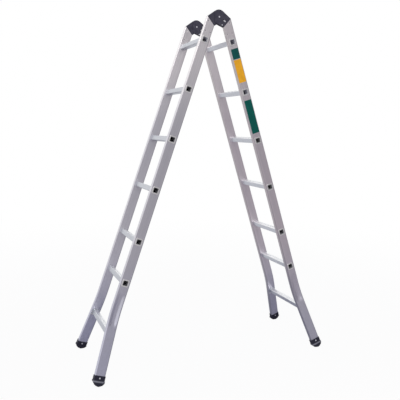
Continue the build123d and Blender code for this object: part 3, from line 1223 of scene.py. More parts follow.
    def _pin_hole(self) -> Workpiece:
        """Makes what the pin's hole takes away."""
        return self._disc(self.pin + self.pin_gap, -OVERSHOOT, OVERSHOOT)

    def model_leaf(self) -> Workpiece:
        """Models the left half: a thick leaf with a notched hub and a full head outside the bolt's sweep.

        Returns:
            The leaf with its tongue.
        """
        half = self.leaf / 2
        first, second, third = (half + step * self.excess for step in (1, 2, 3))
        leaf = self._disc(self.hub, -third, third)
        lobe = self._disc(self.head, -second, second).trim(Vector(), -X_AXIS)
        lobe.trim(Vector(), Vector((-math.sin(self.lobe), 0.0, math.cos(self.lobe))))
        shoulder = self._shoulder(self.hub - self.bolt[0] / 2, -first, first)
        leaf.combine("UNION", lobe, shoulder)
        self._face_off(leaf, -half, half)
        wide, deep = self.notch
        low = (-wide / 2, -OVERSHOOT, -self.hub - deep)
        for opening in (0.0, 2 * self.lean, math.pi):
            notch = Workpiece.block("notch", low, (wide / 2, OVERSHOOT, -self.hub + deep))
            leaf.combine("DIFFERENCE", notch.settle(Matrix.Rotation(self.lock_angle + opening, 4, "Y")))
        leaf.combine("DIFFERENCE", self._pin_hole())
        leaf.combine("UNION", self._tongue(-self.cavity / 2, self.cavity / 2))
        return leaf.fuse().soften(self.edge)

    def model_cheek(self) -> Workpiece:
        """Models a side plate of the right half, in the place nearer the outside of the ladder.

        Returns:
            The cheek with its tongue.
        """
        low = -self.cavity / 2
        high = low + self.cheek
        first, second, third = (step * self.excess for step in (1, 2, 3))
        cheek = self._disc(self.head, low - third, high + third)
        side = Vector((-math.cos(self.lean), 0.0, math.sin(self.lean)))
        cheek.trim(self.cheek_flat * side, side)
        shoulder = self._shoulder(self.head, low - second, high + second)
        cheek.combine("UNION", shoulder, self._tongue(low - first, high + first, self.tongue_rise))
        self._face_off(cheek, low, high)
        wide, inner, outer = self.slot
        slot = Workpiece.block("slot", (-wide / 2, -OVERSHOOT, -outer), (wide / 2, OVERSHOOT, -inner))
        slot.round_along(Y_AXIS, self.bolt_corner, segments=3)
        slot.settle(Matrix.Rotation(-self.lock_angle, 4, "Y"))
        place, drop = self.spacer_rivet
        hole = Workpiece.drill(self.layout.rivet_hole, Vector((place, 0.0, -drop)))
        cheek.combine("DIFFERENCE", slot, hole, self._pin_hole())
        return cheek.fuse().soften(self.edge)

    def model_pin(self) -> Workpiece:
        """Models the pin, riveted over and punched at both ends.

        Returns:
            The pin.
        """
        half = self.cavity / 2 + self.proud
        pin = self._disc(self.pin, -half, half)
        slope, deep = self.pin_mark
        for end in (-1.0, 1.0):
            pin.pick(Element.FACE, lambda place, facing: facing.y * end > ALIGNED)
            for inset in (self.pin - self.pin_bright, self.pin_bright / 2, slope):
                bpy.ops.mesh.inset(thickness=inset)
            bpy.ops.transform.translate(value=-end * deep * Y_AXIS)
            pin.close()
        rim = self.pin - TOUCH
        return pin.round_edges(
            lambda middle, way: abs(middle.y) > half - TOUCH and math.hypot(middle.x, middle.z) > rim,
            self.pin_edge,
            segments=4,
        )

    def model_bolt(self) -> Workpiece:
        """Models the flat bolt, drawn back clear of the hub.

        Returns:
            The bolt.
        """
        half = self.cavity / 2 + self.proud
        wide, inner, outer = self.bolt
        bolt = Workpiece.block("bolt", (-wide / 2, -half, -outer), (wide / 2, half, -inner))
        bolt.round_along(Y_AXIS, self.bolt_corner, segments=3)
        bolt.round_edges(lambda middle, way: abs(middle.y) > half - TOUCH, self.bolt_edge, segments=3)
        return bolt.settle(Matrix.Rotation(-self.lock_angle, 4, "Y"))

    def model_spacer_rivet(self) -> Workpiece:
        """Models the shouldered rivet that keeps the cheeks apart beside the leaf.

        Returns:
            The rivet.
        """
        half = self.spacer / 2
        body = Workpiece.bar("rivet", self.spacer_radius, (0.0, -half, 0.0), (0.0, half, 0.0), sides=24)
        body.join(Rivet(self.cavity, head=self.spacer_head).model())
        place, drop = self.spacer_rivet
        return body.settle(Matrix.Translation((place, 0.0, -drop)))


@dataclass
class Patch:
    """A blank coloured film on the outer face of the right front stile.

    Attributes:
        name: Its name.
        first: Drop of its upper end.
        last: Drop of its lower end.
        colour: Its colour.
        inner: Distance from the stile's inner edge to the film.
        outer: Distance from the stile's inner edge to the film's other side.
        thickness: Thickness of the film.
        corner: Rounding of its corners.
        rim: Width of the slope around its face.
    """

    name: str
    first: float
    last: float
    colour: Colour
    inner: float = 0.005
    outer: float = 0.0525
    thickness: float = 0.00015
    corner: float = 0.0015
    rim: float = 0.00006

    def model(self, layout: Layout) -> Workpiece:
        """Models the film.

        Args:
            layout: Places shared with the other pieces.

        Returns:
            The film in the leg frame.
        """
        back = -layout.flight / 2
        face = back - self.thickness
        low = (layout.edge + self.inner, face, -self.last)
        film = Workpiece.block("film", low, (layout.edge + self.outer, back, -self.first))
        film.round_along(Y_AXIS, self.corner, segments=3)
        return film.round_edges(
            lambda middle, way: middle.y < face + TOUCH and abs(way.y) < SQUARE, self.rim, segments=1
        )


class Value:
    """A number's socket that adds Math nodes when it is used in an expression."""

    def __init__(self, graph: "Graph", socket: Socket) -> None:
        """Wraps a socket of a graph."""
        self.graph = graph
        self.socket = socket

    def math(self, operation: str, *operands: Any) -> "Value":
        """Adds a Math node.

        Args:
            operation: The Math node's operation.
            operands: Its inputs, in order.

        Returns:
            The result.
        """
        node = self.graph.node("ShaderNodeMath", {"operation": operation}, dict(enumerate(operands)))
        return Value(self.graph, node.outputs[0])

    def __add__(self, other: Any) -> "Value":
        """Sum."""
        return self.math("ADD", self, other)

    __radd__ = __add__

    def __sub__(self, other: Any) -> "Value":
        """Difference."""
        return self.math("SUBTRACT", self, other)

    def __rsub__(self, other: Any) -> "Value":
        """Difference, the other way round."""
        return self.math("SUBTRACT", other, self)

    def __neg__(self) -> "Value":
        """The same with the other sign."""
        return self.math("SUBTRACT", 0.0, self)

    def __mul__(self, other: Any) -> "Value":
        """Product."""
        return self.math("MULTIPLY", self, other)

    __rmul__ = __mul__

    def __abs__(self) -> "Value":
        """Size without its sign."""
        return self.math("ABSOLUTE", self)

    def most(self, other: "Value") -> "Value":
        """The larger of two."""
        return self.math("MAXIMUM", self, other)

    def swing(self, amount: float) -> "Value":
        """Centres a value from 0 to 1 on zero, and scales it."""
        return (self - 0.5) * amount

    def step(self, low: float, high: float) -> "Value":
        """Steps smoothly from 0 to 1.

        Args:
            low: Up to here it gives 0.
            high: From here on it gives 1.

        Returns:
            The step.
        """
        ends = {"Value": self, "From Min": low, "From Max": high}
        node = self.graph.node("ShaderNodeMapRange", {"interpolation_type": "SMOOTHSTEP"}, ends)
        return Value(self.graph, node.outputs[0])

    def bump(self, middle: float, reach: float) -> "Value":
        """Gives 1 at a middle and 0 at a reach to both sides of it."""
        return 1.0 - abs(self - middle).step(0.0, reach)


@dataclass(frozen=True)
class Grain:
    """A noise on a surface, and what it does there.

    Attributes:
        scale: Cycles per metre along X, Y and Z.
        detail: Octaves.
        levels: Levels between which it shows in the colour.
        share: How strongly it shows there.
        swing: How far it swings the roughness.
        relief: Depth of its relief, and how strong that is.
    """

    scale: Point
    detail: float = 4.0
    levels: Span = (0.0, 1.0)
    share: float = 1.0
    swing: float = 0.0
    relief: Span = (0.0, 0.0)


class Noise(Value):
    """The socket of a grain's noise, from 0 to 1."""

    def __init__(self, graph: "Graph", point: Socket, grain: Grain) -> None:
        """Adds the noise.

        Args:
            graph: The tree.
            point: The socket of the shaded point.
            grain: The grain.
        """
        scaled = {"Vector": point, "Scale": grain.scale}
        stretched = graph.node("ShaderNodeMapping", {"vector_type": "POINT"}, scaled).outputs[0]
        inputs = {"Vector": stretched, "Scale": 1.0, "Detail": grain.detail}
        super().__init__(graph, graph.node("ShaderNodeTexNoise", {}, inputs).outputs[0])
        self.grain = grain

    @property
    def shown(self) -> Value:
        """How much of it shows in the colour."""
        return self.step(*self.grain.levels) * self.grain.share

    @property
    def rough(self) -> Value:
        """What it adds to the roughness."""
        return self.swing(self.grain.swing)

    @property
    def normal(self) -> Socket:
        """The socket of the normal that its relief gives."""
        inputs = {"Height": self, "Distance": self.grain.relief[0], "Strength": self.grain.relief[1]}
        return self.graph.node("ShaderNodeBump", {}, inputs).outputs[0]


class Graph:
    """The node tree of a material or the world, with its main shader."""

    def __init__(self, owner: Material | bpy.types.World, shader: str) -> None:
        """Opens the owner's tree and finds its main shader.

        Args:
            owner: The material or world.
            shader: Name of the shader's node.
        """
        self.owner = owner
        self.owner.use_nodes = True
        self.tree = self.owner.node_tree
        self.shader = self.tree.nodes[shader]

    @classmethod
    def material(cls, name: str) -> "Graph":
        """Opens the tree of a new material."""
        return cls(bpy.data.materials.new(name), "Principled BSDF")

    def node(self, kind: str, settings: dict[str, Any], inputs: dict[Any, Any]) -> bpy.types.Node:
        """Adds a node.

        Args:
            kind: The node's type.
            settings: Its own properties, set first.
            inputs: Values or links of its sockets, by name or number.

        Returns:
            The node.
        """
        node = self.tree.nodes.new(kind)
        for key, setting in settings.items():
            setattr(node, key, setting)
        for key, given in inputs.items():
            self.feed(node.inputs[key], given)
        return node

    def feed(self, socket: Socket, given: Any) -> None:
        """Links a socket to another, or sets its value.

        Args:
            socket: The socket.
            given: A value, a socket, or a plain number, colour or vector.
        """
        if isinstance(given, Value):
            given = given.socket
        if isinstance(given, Socket):
            self.tree.links.new(given, socket)
        else:
            socket.default_value = given

    def surface(self, **inputs: Any) -> bpy.types.ID:
        """Feeds the main shader.

        Args:
            inputs: Values or links by socket name, with _ for a space.

        Returns:
            The material or world.
        """
        for key, given in inputs.items():
            self.feed(self.shader.inputs[key.replace("_", " ")], given)
        return self.owner

    def point(self, home: Matrix | None = None) -> Socket:
        """Gives the shaded point in a frame of the object's own.

        Args:
            home: The matrix from that frame to the row frame, or none for the row frame.

        Returns:
            The socket of the point.
        """
        place = self.node("ShaderNodeTexCoord", {}, {}).outputs["Object"]
        if home is None:
            return place
        back = home.inverted()
        turned = {"Vector": place, "Location": back.to_translation(), "Rotation": back.to_euler()}
        return self.node("ShaderNodeMapping", {"vector_type": "POINT"}, turned).outputs[0]

    def axes(self, point: Socket) -> tuple[Value, Value, Value]:
        """Takes a point apart into its three numbers."""
        parts = self.node("ShaderNodeSeparateXYZ", {}, {0: point})
        return tuple(Value(self, socket) for socket in parts.outputs)

    def mix(self, factor: Any, low: Any, high: Any, blend: str = "MIX") -> Socket:
        """Mixes two colours.

        Args:
            factor: 0 for low, 1 for high.
            low: First colour.
            high: Second colour.
            blend: How the second colour acts on the first.

        Returns:
            The socket of the mixed colour.
        """
        node = self.node("ShaderNodeMix", {"data_type": "RGBA", "blend_type": blend}, {0: factor})
        for number, given in zip(MIX_INPUTS, (low, high)):
            self.feed(node.inputs[number], (*given, 1.0) if isinstance(given, tuple) else given)
        return node.outputs[MIX_OUTPUT]

    def dim(self, factor: Any, colour: Any, share: float) -> Socket:
        """Dims a colour to a share of it where a factor is 1."""
        return self.mix(factor, colour, (share, share, share), "MULTIPLY")


@dataclass(frozen=True)
class StileFinish:
    """Satin extruded aluminium, drawn along the leg, lighter near the hinge and darker and cooler towards the
    floor as painted light, with painted shade on its corners, its inner side and its wide sides at the front.

    Attributes:
        upper: Colour near the hinge, lighter as painted light.
        middle: Colour half way down.
        lower: Colour near the floor, darker and cooler as painted shade.
        upper_fade: Drops between which the upper colour gives way.
        lower_fade: Drops between which the lower colour comes in.
        lines: The drawn lines.
        streaks: Long streaks.
        clouds: Broad clouds.
        shade: Colour of the streaks and clouds.
        shade_share: How much of it there is on the whole.
        arris: Colour of the painted shade lines along the tube's corners.
        arris_line: Distance of those lines from the tube's middle, and half of their width.
        arris_share: How strong they are.
        inner: Share of the colour that is left on the narrow inner side, dimmed as painted shade.
        inner_fade: Distances from that side between which the rest comes in.
        front: Share of the colour that is left on the wide sides at the ladder's front, dimmed as painted
            shade.
        front_fade: Places along the pivot line between which the rest comes in.
        wide: Distances from the tube's middle between which a wide side ends.
        roughness: Middle roughness.
        metal: How far it shines as bare metal does.
    """

    upper: Colour
    middle: Colour
    lower: Colour
    upper_fade: Span = (0.22, 0.74)
    lower_fade: Span = (1.3, 2.05)
    lines: Grain = Grain((1400.0, 1400.0, 1.5), swing=0.12, relief=(0.00004, 0.5))
    streaks: Grain = Grain((160.0, 160.0, 0.8), detail=3.0, share=0.5)
    clouds: Grain = Grain((14.0, 14.0, 6.0), share=0.4, swing=0.16)
    shade: Colour = (0.42, 0.41, 0.45)
    shade_share: float = 0.1
    arris: Colour = (0.30, 0.30, 0.33)
    arris_line: Span = (0.0254, 0.0026)
    arris_share: float = 0.5
    inner: float = 0.68
    inner_fade: Span = (0.0004, 0.0036)
    front: float = 0.895
    front_fade: Span = (-0.05, 0.05)
    wide: Span = (0.0250, 0.0282)
    roughness: float = 0.36
    metal: float = 0.92

    def build(self, name: str, leg: Matrix, layout: Layout) -> Material:
        """Makes the material.

        Args:
            name: Name of the material.
            leg: The flight's matrix.
            layout: Places shared by the pieces.

        Returns:
            The material.
        """
        graph = Graph.material(name)
        point = graph.point(leg)
        lines, streaks = Noise(graph, point, self.lines), Noise(graph, point, self.streaks)
        clouds = Noise(graph, point, self.clouds)
        across, _, up = graph.axes(point)
        drop = -up
        # Painted light: lighter near the hinge, darker and cooler towards the floor.
        colour = graph.mix(drop.step(*self.upper_fade), self.upper, self.middle)
        colour = graph.mix(drop.step(*self.lower_fade), colour, self.lower)
        patchy = streaks.swing(self.streaks.share) + clouds.swing(self.clouds.share)
        colour = graph.mix(patchy + self.shade_share, colour, self.shade)
        aside = abs(across - layout.centre_x)
        # Painted shade: darker lines along the tube's rounded corners.
        colour = graph.mix(aside.bump(*self.arris_line) * self.arris_share, colour, self.arris)
        # Painted shade on the narrow inner side.
        colour = graph.dim(1.0 - (across - layout.edge).step(*self.inner_fade), colour, self.inner)
        # Painted shade: the wide sides at the ladder's front are darker than at its rear.
        _, along, _ = graph.axes(graph.point())
        front = (1.0 - aside.step(*self.wide)) * (1.0 - along.step(*self.front_fade))
        colour = graph.dim(front, colour, self.front)
        rough = self.roughness + lines.rough + clouds.rough
        return graph.surface(Base_Color=colour, Metallic=self.metal, Roughness=rough, Normal=lines.normal)


@dataclass(frozen=True)
class RungFinish:
    """Brighter drawn aluminium, with lines along the rung, a middle that shoes have rubbed, and a painted
    highlight on the swaged collars.

    Attributes:
        colour: Base colour.
        worn: Colour where it is rubbed.
        worn_fade: Distances from the rung's middle between which the rubbing ends.
        worn_share: How strongly the rubbing shows.
        worn_rough: What it adds to the roughness.
        lines: The drawn lines.
        scuffs: The scuffs of the rubbing.
        collar: Colour of the swaged collars, lighter as a painted highlight.
        collar_highlight_fade: Distances past the stile's face between which a collar begins.
        roughness: Middle roughness.
        metal: How far it shines as bare metal does.
    """

    colour: Colour
    worn: Colour
    worn_fade: Span = (0.05, 0.15)
    worn_share: float = 0.6
    worn_rough: float = 0.1
    lines: Grain = Grain((1400.0, 2.0, 1400.0), swing=0.12, relief=(0.00004, 0.5))
    scuffs: Grain = Grain((220.0, 30.0, 220.0), detail=5.0, levels=(0.45, 0.7))
    collar: Colour = (0.82, 0.81, 0.79)
    collar_highlight_fade: Span = (-0.0005, 0.0002)
    roughness: float = 0.34
    metal: float = 0.92

    def build(self, name: str, leg: Matrix, layout: Layout) -> Material:
        """Makes the material.

        Args:
            name: Name of the material.
            leg: The flight's matrix.
            layout: Places shared by the pieces.

        Returns:
            The material.
        """
        graph = Graph.material(name)
        point = graph.point(leg)
        lines, scuffs = Noise(graph, point, self.lines), Noise(graph, point, self.scuffs)
        _, along, _ = graph.axes(point)
        rubbed = (1.0 - abs(along).step(*self.worn_fade)) * scuffs.shown
        colour = graph.mix(rubbed * self.worn_share, self.colour, self.worn)
        past = abs(along) - layout.flight / 2
        # Painted highlight: the swaged collars are lighter than the rung.
        colour = graph.mix(past.step(*self.collar_highlight_fade), colour, self.collar)
        rough = self.roughness + lines.rough + rubbed * self.worn_rough
        return graph.surface(Base_Color=colour, Metallic=self.metal, Roughness=rough, Normal=lines.normal)


@dataclass(frozen=True)
class BoreFinish:
    """The bare inside of a rung: grey metal, darkened as painted shade inside the tube, and lighter in the
    top rungs.

    Attributes:
        colour: Base colour.
        dusty: Colour where dust has settled.
        clean: Lighter colour in the top rungs.
        top_rungs_fade: Heights over the floor between which the top rungs begin.
        top_rungs_lower: How much lower they begin on the right flight.
        right_fade: Distances from the pivot line between which the right flight begins.
        dust: The dust.
        roughness: Middle roughness.
        metal: How far it shines as bare metal does.
    """

    colour: Colour
    dusty: Colour
    clean: Colour
    top_rungs_fade: Span = (1.70, 1.80)
    top_rungs_lower: float = 0.25
    right_fade: Span = (0.0, 0.02)
    dust: Grain = Grain((120.0, 30.0, 120.0), levels=(0.35, 0.75), swing=0.2)
    roughness: float = 0.6
    metal: float = 0.7

    def build(self, name: str) -> Material:
        """Makes the material.

        Args:
            name: Name of the material.

        Returns:
            The material.
        """
        graph = Graph.material(name)
        point = graph.point()
        dust = Noise(graph, point, self.dust)
        right, _, up = graph.axes(point)
        # The dark base colour is painted shade inside the tube; the top rungs are lighter, from lower down on
        # the right flight.
        top = up + right.step(*self.right_fade) * self.top_rungs_lower
        colour = graph.mix(dust.shown, self.colour, self.dusty)
        colour = graph.mix(top.step(*self.top_rungs_fade), colour, self.clean)
        return graph.surface(Base_Color=colour, Metallic=self.metal, Roughness=self.roughness + dust.rough)


@dataclass(frozen=True)
class CoatedFinish:
    """Coated or plated steel, with a fine grain and faint stains.

    Attributes:
        colour: Base colour.
        stain: Colour of the stains.
        roughness: Middle roughness.
        metal: How far it shines as bare metal does.
        gloss: Strength of its mirrored light where it doesn't.
        grain: The fine grain.
        stains: The stains.
    """

    colour: Colour
    stain: Colour
    roughness: float
    metal: float = 1.0
    gloss: float = 0.5
    grain: Grain = Grain((900.0, 900.0, 900.0), swing=0.15, relief=(0.00003, 0.4))
    stains: Grain = Grain((120.0, 120.0, 120.0), levels=(0.45, 0.75))

    def build(self, name: str, home: Matrix | None = None) -> Material:
        """Makes the material.

        Args:
            name: Name of the material.
            home: The frame in which its pattern lies, or none for the row frame.

        Returns:
            The material.
        """
        graph = Graph.material(name)
        point = graph.point(home)
        grain, stains = Noise(graph, point, self.grain), Noise(graph, point, self.stains)
        colour = graph.mix(stains.shown, self.colour, self.stain)
        rough = self.roughness + grain.rough + stains.rough
        shine = {"Metallic": self.metal, "Roughness": rough, "Specular_IOR_Level": self.gloss}
        return graph.surface(Base_Color=colour, Normal=grain.normal, **shine)


@dataclass(frozen=True)
class RubberFinish:
    """Black rubber, matt, with dust and a painted highlight: a pale band along the sole's shoulder on its
    outer side, in the dust colour.

    Attributes:
        colour: Base colour.
        dusty: Colour of dust, and of the painted highlight band.
        band: Height of the band's middle over the ledge, and half of its width.
        band_share: How strong it is.
        outside: Distances outward from the foot's middle between which the outer side begins.
        grain: The fine grain.
        dust: The dust.
        roughness: Middle roughness.
        gloss: Strength of its mirrored light.
    """

    colour: Colour
    dusty: Colour
    band: Span = (-0.0050, 0.007)
    band_share: float = 0.85
    outside: Span = (0.004, 0.012)
    grain: Grain = Grain((1200.0, 1200.0, 1200.0), detail=3.0, relief=(0.00008, 0.5))
    dust: Grain = Grain((90.0, 90.0, 90.0), detail=5.0, levels=(0.5, 0.8), share=0.12, swing=0.25)
    roughness: float = 0.55
    gloss: float = 0.25

    def build(self, name: str, home: Matrix, ledge: float) -> Material:
        """Makes the material.

        Args:
            name: Name of the material.
            home: The foot's frame.
            ledge: Height of the ledge in that frame.

        Returns:
            The material.
        """
        graph = Graph.material(name)
        point = graph.point(home)
        grain, dust = Noise(graph, point, self.grain), Noise(graph, point, self.dust)
        _, along, up = graph.axes(point)
        # Painted highlight: a pale band along the sole's shoulder, on the outer side only.
        band = (up - ledge).bump(*self.band) * (-along).step(*self.outside)
        colour = graph.mix(band * self.band_share + dust.shown, self.colour, self.dusty)
        shine = {"Roughness": self.roughness + dust.rough, "Specular_IOR_Level": self.gloss}
        return graph.surface(Base_Color=colour, Normal=grain.normal, **shine)


@dataclass(frozen=True)
class FilmFinish:
    """Coloured film, a little faded, with a fine grain.

    Attributes:
        colour: Base colour.
        deep: Share of the colour where it hasn't faded.
        pale: How much paler the grain is than that.
        grain: The fine grain.
        fade: The fading.
        roughness: Middle roughness.
        gloss: Strength of its mirrored light.
    """

    colour: Colour
    deep: float = 0.85
    pale: float = 0.03
    grain: Grain = Grain((2500.0, 2500.0, 2500.0), detail=1.0, levels=(0.55, 0.8), share=0.25)
    fade: Grain = Grain((40.0, 40.0, 25.0), levels=(0.3, 0.7), swing=0.2, relief=(0.00005, 0.5))
    roughness: float = 0.4
    gloss: float = 0.15

    def build(self, name: str, leg: Matrix) -> Material:
        """Makes the material.

        Args:
            name: Name of the material.
            leg: The flight's matrix.

        Returns:
            The material.
        """
        graph = Graph.material(name)
        point = graph.point(leg)
        grain, fade = Noise(graph, point, self.grain), Noise(graph, point, self.fade)
        deep = tuple(self.deep * channel for channel in self.colour)
        colour = graph.mix(fade.shown, deep, self.colour)
        colour = graph.mix(grain.shown, colour, tuple(channel + self.pale for channel in deep))
        shine = {"Roughness": self.roughness + fade.rough, "Specular_IOR_Level": self.gloss}
        return graph.surface(Base_Color=colour, Normal=fade.normal, **shine)


@dataclass(frozen=True)
class Studio:
    """White backdrop, a soft lamp and the camera at the photograph's angle.

    Attributes:
        eye: Place of the camera from the middle of the pivot line.
        azimuth: Turn of the view about Z from looking along +Y.
        tilt: Downward tilt of the view.
        roll: Turn of the camera about its own line of sight.
        sensor: Width of the camera's sensor, in millimetres.
        focal_pixels: Focal length in pixels of the square image.
        image_pixels: Side of the square image.
        centre_pixel: Where the line of sight meets the image.
        room: Colour of the dim side of the room.
        room_way: How far that side lies to the right and to the back.
        room_fade: Cosines from that way between which the room gets dim.
        backdrop_fade: Cosines from the back between which the metal mirrors the white backdrop.
        floor_side: Side of the floor.
        floor_near: Colour of the floor under and behind the ladder, as the metal sees it, darker as a painted
            shadow of the ladder.
        floor_far: Colour of the floor in front of it.
        floor_fade: Distances to the front between which one gives way to the other.
        floor_rough: Roughness of the floor.
        floor_glow: Share of the floor near the ladder that shows as plain white.
        glow_fade: Distances from the ladder between which all of it does.
        floor_mirror: Share of that white which the metal mirrors behind and left of the ladder.
        mirror_back: Distances to the back between which that begins.
        mirror_left: Distances to the left between which that begins.
        lamp_place: Where the lamp hangs.
        lamp_aim: What it points at.
        lamp_side: Side of its square.
        lamp_power: Its power in watts.
    """

    eye: Point = (-1.2733, -2.8615, -0.6495)
    azimuth: float = math.radians(-23.5763)
    tilt: float = math.radians(3.7489)
    roll: float = math.radians(1.1549)
    sensor: float = 36.0
    focal_pixels: float = 509.7803
    image_pixels: float = 400.0
    centre_pixel: Span = (200.2363, 163.4142)
    room: Colour = (0.29, 0.28, 0.315)
    room_way: Span = (0.8, -0.3)
    room_fade: Span = (0.1, 0.8)
    backdrop_fade: Span = (-0.1, 0.4)
    floor_side: float = 60.0
    floor_near: Colour = (0.30, 0.30, 0.36)
    floor_far: Colour = (0.40, 0.39, 0.42)
    floor_fade: Span = (0.15, 1.0)
    floor_rough: float = 0.9
    floor_glow: float = 0.96
    glow_fade: Span = (1.0, 5.0)
    floor_mirror: float = 0.7
    mirror_back: Span = (0.25, 0.9)
    mirror_left: Span = (0.68, 0.85)
    lamp_place: Point = (-2.2, -3.4, 6.0)
    lamp_aim: Point = (0.0, 0.0, 1.0)
    lamp_side: float = 3.0
    lamp_power: float = 170.0

    def camera(self, pivot: Vector) -> None:
        """Adds the camera.

        Args:
            pivot: Middle of the pivot line.
        """
        data = bpy.data.cameras.new("camera")
        camera = bpy.data.objects.new("camera", data)
        bpy.context.scene.collection.objects.link(camera)
        turn = Matrix.Rotation(self.azimuth, 4, "Z") @ Matrix.Rotation(math.pi / 2 - self.tilt, 4, "X")
        place = Matrix.Translation(pivot + Vector(self.eye))
        camera.matrix_world = place @ turn @ Matrix.Rotation(self.roll, 4, "Z")
        data.sensor_width = self.sensor
        data.lens = self.sensor * self.focal_pixels / self.image_pixels
        half = self.image_pixels / 2
        data.shift_x = (half - self.centre_pixel[0]) / self.image_pixels
        data.shift_y = (self.centre_pixel[1] - half) / self.image_pixels
        bpy.context.scene.camera = camera

    def floor(self) -> None:
        """Adds the white floor, which keeps a faint shadow near the ladder."""
        bpy.ops.object.select_all(action="DESELECT")
        bpy.ops.mesh.primitive_plane_add(size=self.floor_side, location=(0.0, 0.0, 0.0))
        plane = bpy.context.object
        plane.name = "floor"
        graph = Graph.material("floor_white")
        point = graph.point()
        right, back, _ = graph.axes(point)
        # Painted shadow: the floor is darker under and behind the ladder, as the metal mirrors it.
        colour = graph.mix((-back).step(*self.floor_fade), self.floor_near, self.floor_far)
        graph.surface(Base_Color=colour, Roughness=self.floor_rough)
        mirrored = back.step(*self.mirror_back).most((-right).step(*self.mirror_left))
        away = graph.node("ShaderNodeVectorMath", {"operation": "LENGTH"}, {0: point}).outputs["Value"]
        glow = self.floor_glow + Value(graph, away).step(*self.glow_fade) * (1.0 - self.floor_glow)
        share = self._seen(graph, mirrored * self.floor_mirror) * glow
        white = graph.node("ShaderNodeEmission", {}, {"Color": (*WHITE, 1.0), "Strength": 1.0})
        shaders = {0: share, 1: graph.shader.outputs[0], 2: white.outputs[0]}
        both = graph.node("ShaderNodeMixShader", {}, shaders)
        graph.feed(graph.tree.nodes["Material Output"].inputs["Surface"], both.outputs[0])
        plane.data.materials.append(graph.owner)

    @staticmethod
    def _seen(graph: Graph, mirrored: Value) -> Value:
        """Gives how much of the plain white a ray sees.

        Args:
            graph: The tree of the floor or the world.
            mirrored: The share for rays from metal.

        Returns:
            1 for rays from the camera and through glass, the share for rays from metal, and 0 for the others.
        """
        path = graph.node("ShaderNodeLightPath", {}, {}).outputs
        names = ("Is Camera Ray", "Is Transmission Ray", "Is Glossy Ray")
        camera, through, glossy = (Value(graph, path[name]) for name in names)
        return camera.most(through).most(glossy * mirrored)

    def world(self) -> None:
        """Sets the soft light: a white backdrop and ceiling, and a room that is dim to the right in front."""
        world = bpy.data.worlds.new("studio")
        bpy.context.scene.world = world
        graph = Graph(world, "Background")
        way = graph.node("ShaderNodeTexCoord", {}, {}).outputs["Generated"]
        right, back, _ = graph.axes(way)
        dim = (right * self.room_way[0] + back * self.room_way[1]).step(*self.room_fade)
        light = graph.mix(dim, WHITE, self.room)
        graph.surface(Color=graph.mix(self._seen(graph, back.step(*self.backdrop_fade)), light, WHITE))

    def lamp(self) -> None:
        """Adds the soft square lamp, up in front to the left."""
        data = bpy.data.lights.new("left_window", "AREA")
        data.size = self.lamp_side
        data.energy = self.lamp_power
        lamp = bpy.data.objects.new("left_window", data)
        bpy.context.scene.collection.objects.link(lamp)
        turn = (Vector(self.lamp_aim) - Vector(self.lamp_place)).to_track_quat("-Z", "Y")
        lamp.matrix_world = Matrix.Translation(self.lamp_place) @ turn.to_matrix().to_4x4()

    def build(self, pivot: Vector) -> None:
        """Sets up the whole studio.

        Args:
            pivot: Middle of the pivot line.
        """
        bpy.context.scene.view_settings.view_transform = "Standard"
        self.camera(pivot)
        self.floor()
        self.world()
        self.lamp()


@dataclass(frozen=True)
class Palette:
    """The finishes of the ladder.

    Attributes:
        left_stile: The left flight's stiles, a darker copy of the right flight's aluminium as painted shade.
        right_stile: The right flight's stiles, lighter and pinker as painted light.
        left_rung: The left flight's rungs below the tread, darker as painted shade on their sides and
            undersides, and darker than the right flight's.
        right_rung: The right flight's rungs below the tread, darker as painted shade on their sides and
            undersides.
        tread: The ribbed tops of all rungs, near white as painted light from above.
        bore: The insides of the rungs that pass through, darkened as painted shade inside the tubes.
        hinge: The hinge plates, and the rims of the pins.
        rubber: The feet.
        lock_steel: Pins, lock bolts, and the rivets of the feet and between the cheeks.
        rivet_steel: The bottom rungs' rivets.
        shaded_rivet_steel: The hinge rivets in their dimples.
    """

    left_stile: StileFinish = StileFinish((0.91, 0.87, 0.88), (0.69, 0.675, 0.72), (0.61, 0.61, 0.73))
    right_stile: StileFinish = StileFinish((0.91, 0.85, 0.86), (0.80, 0.725, 0.765), (0.63, 0.62, 0.72))
    left_rung: RungFinish = RungFinish((0.565, 0.585, 0.63), (0.60, 0.61, 0.64))
    right_rung: RungFinish = RungFinish((0.63, 0.65, 0.70), (0.60, 0.61, 0.64))
    tread: RungFinish = RungFinish((0.93, 0.94, 0.95), (0.84, 0.85, 0.86))
    bore: BoreFinish = BoreFinish((0.36, 0.36, 0.39), (0.46, 0.46, 0.47), (0.70, 0.70, 0.75))
    hinge: CoatedFinish = CoatedFinish(
        (0.036, 0.035, 0.053),
        (0.060, 0.057, 0.080),
        roughness=0.42,
        metal=0.0,
        gloss=0.35,
        grain=Grain((1800.0, 1800.0, 1800.0), detail=3.0, relief=(0.00006, 0.4)),
        stains=Grain((45.0, 45.0, 45.0), detail=5.0, levels=(0.35, 0.75), swing=0.2),
    )
    rubber: RubberFinish = RubberFinish((0.016, 0.016, 0.030), (0.24, 0.24, 0.28))
    lock_steel: CoatedFinish = CoatedFinish((0.66, 0.66, 0.69), (0.58, 0.58, 0.60), 0.32, 0.5)
    rivet_steel: CoatedFinish = CoatedFinish((0.62, 0.60, 0.64), (0.45, 0.44, 0.47), 0.38)
    # The hinge rivets' dark grey is painted shade of the dimples they sit in.
    shaded_rivet_steel: CoatedFinish = CoatedFinish((0.24, 0.23, 0.25), (0.16, 0.15, 0.17), 0.5)


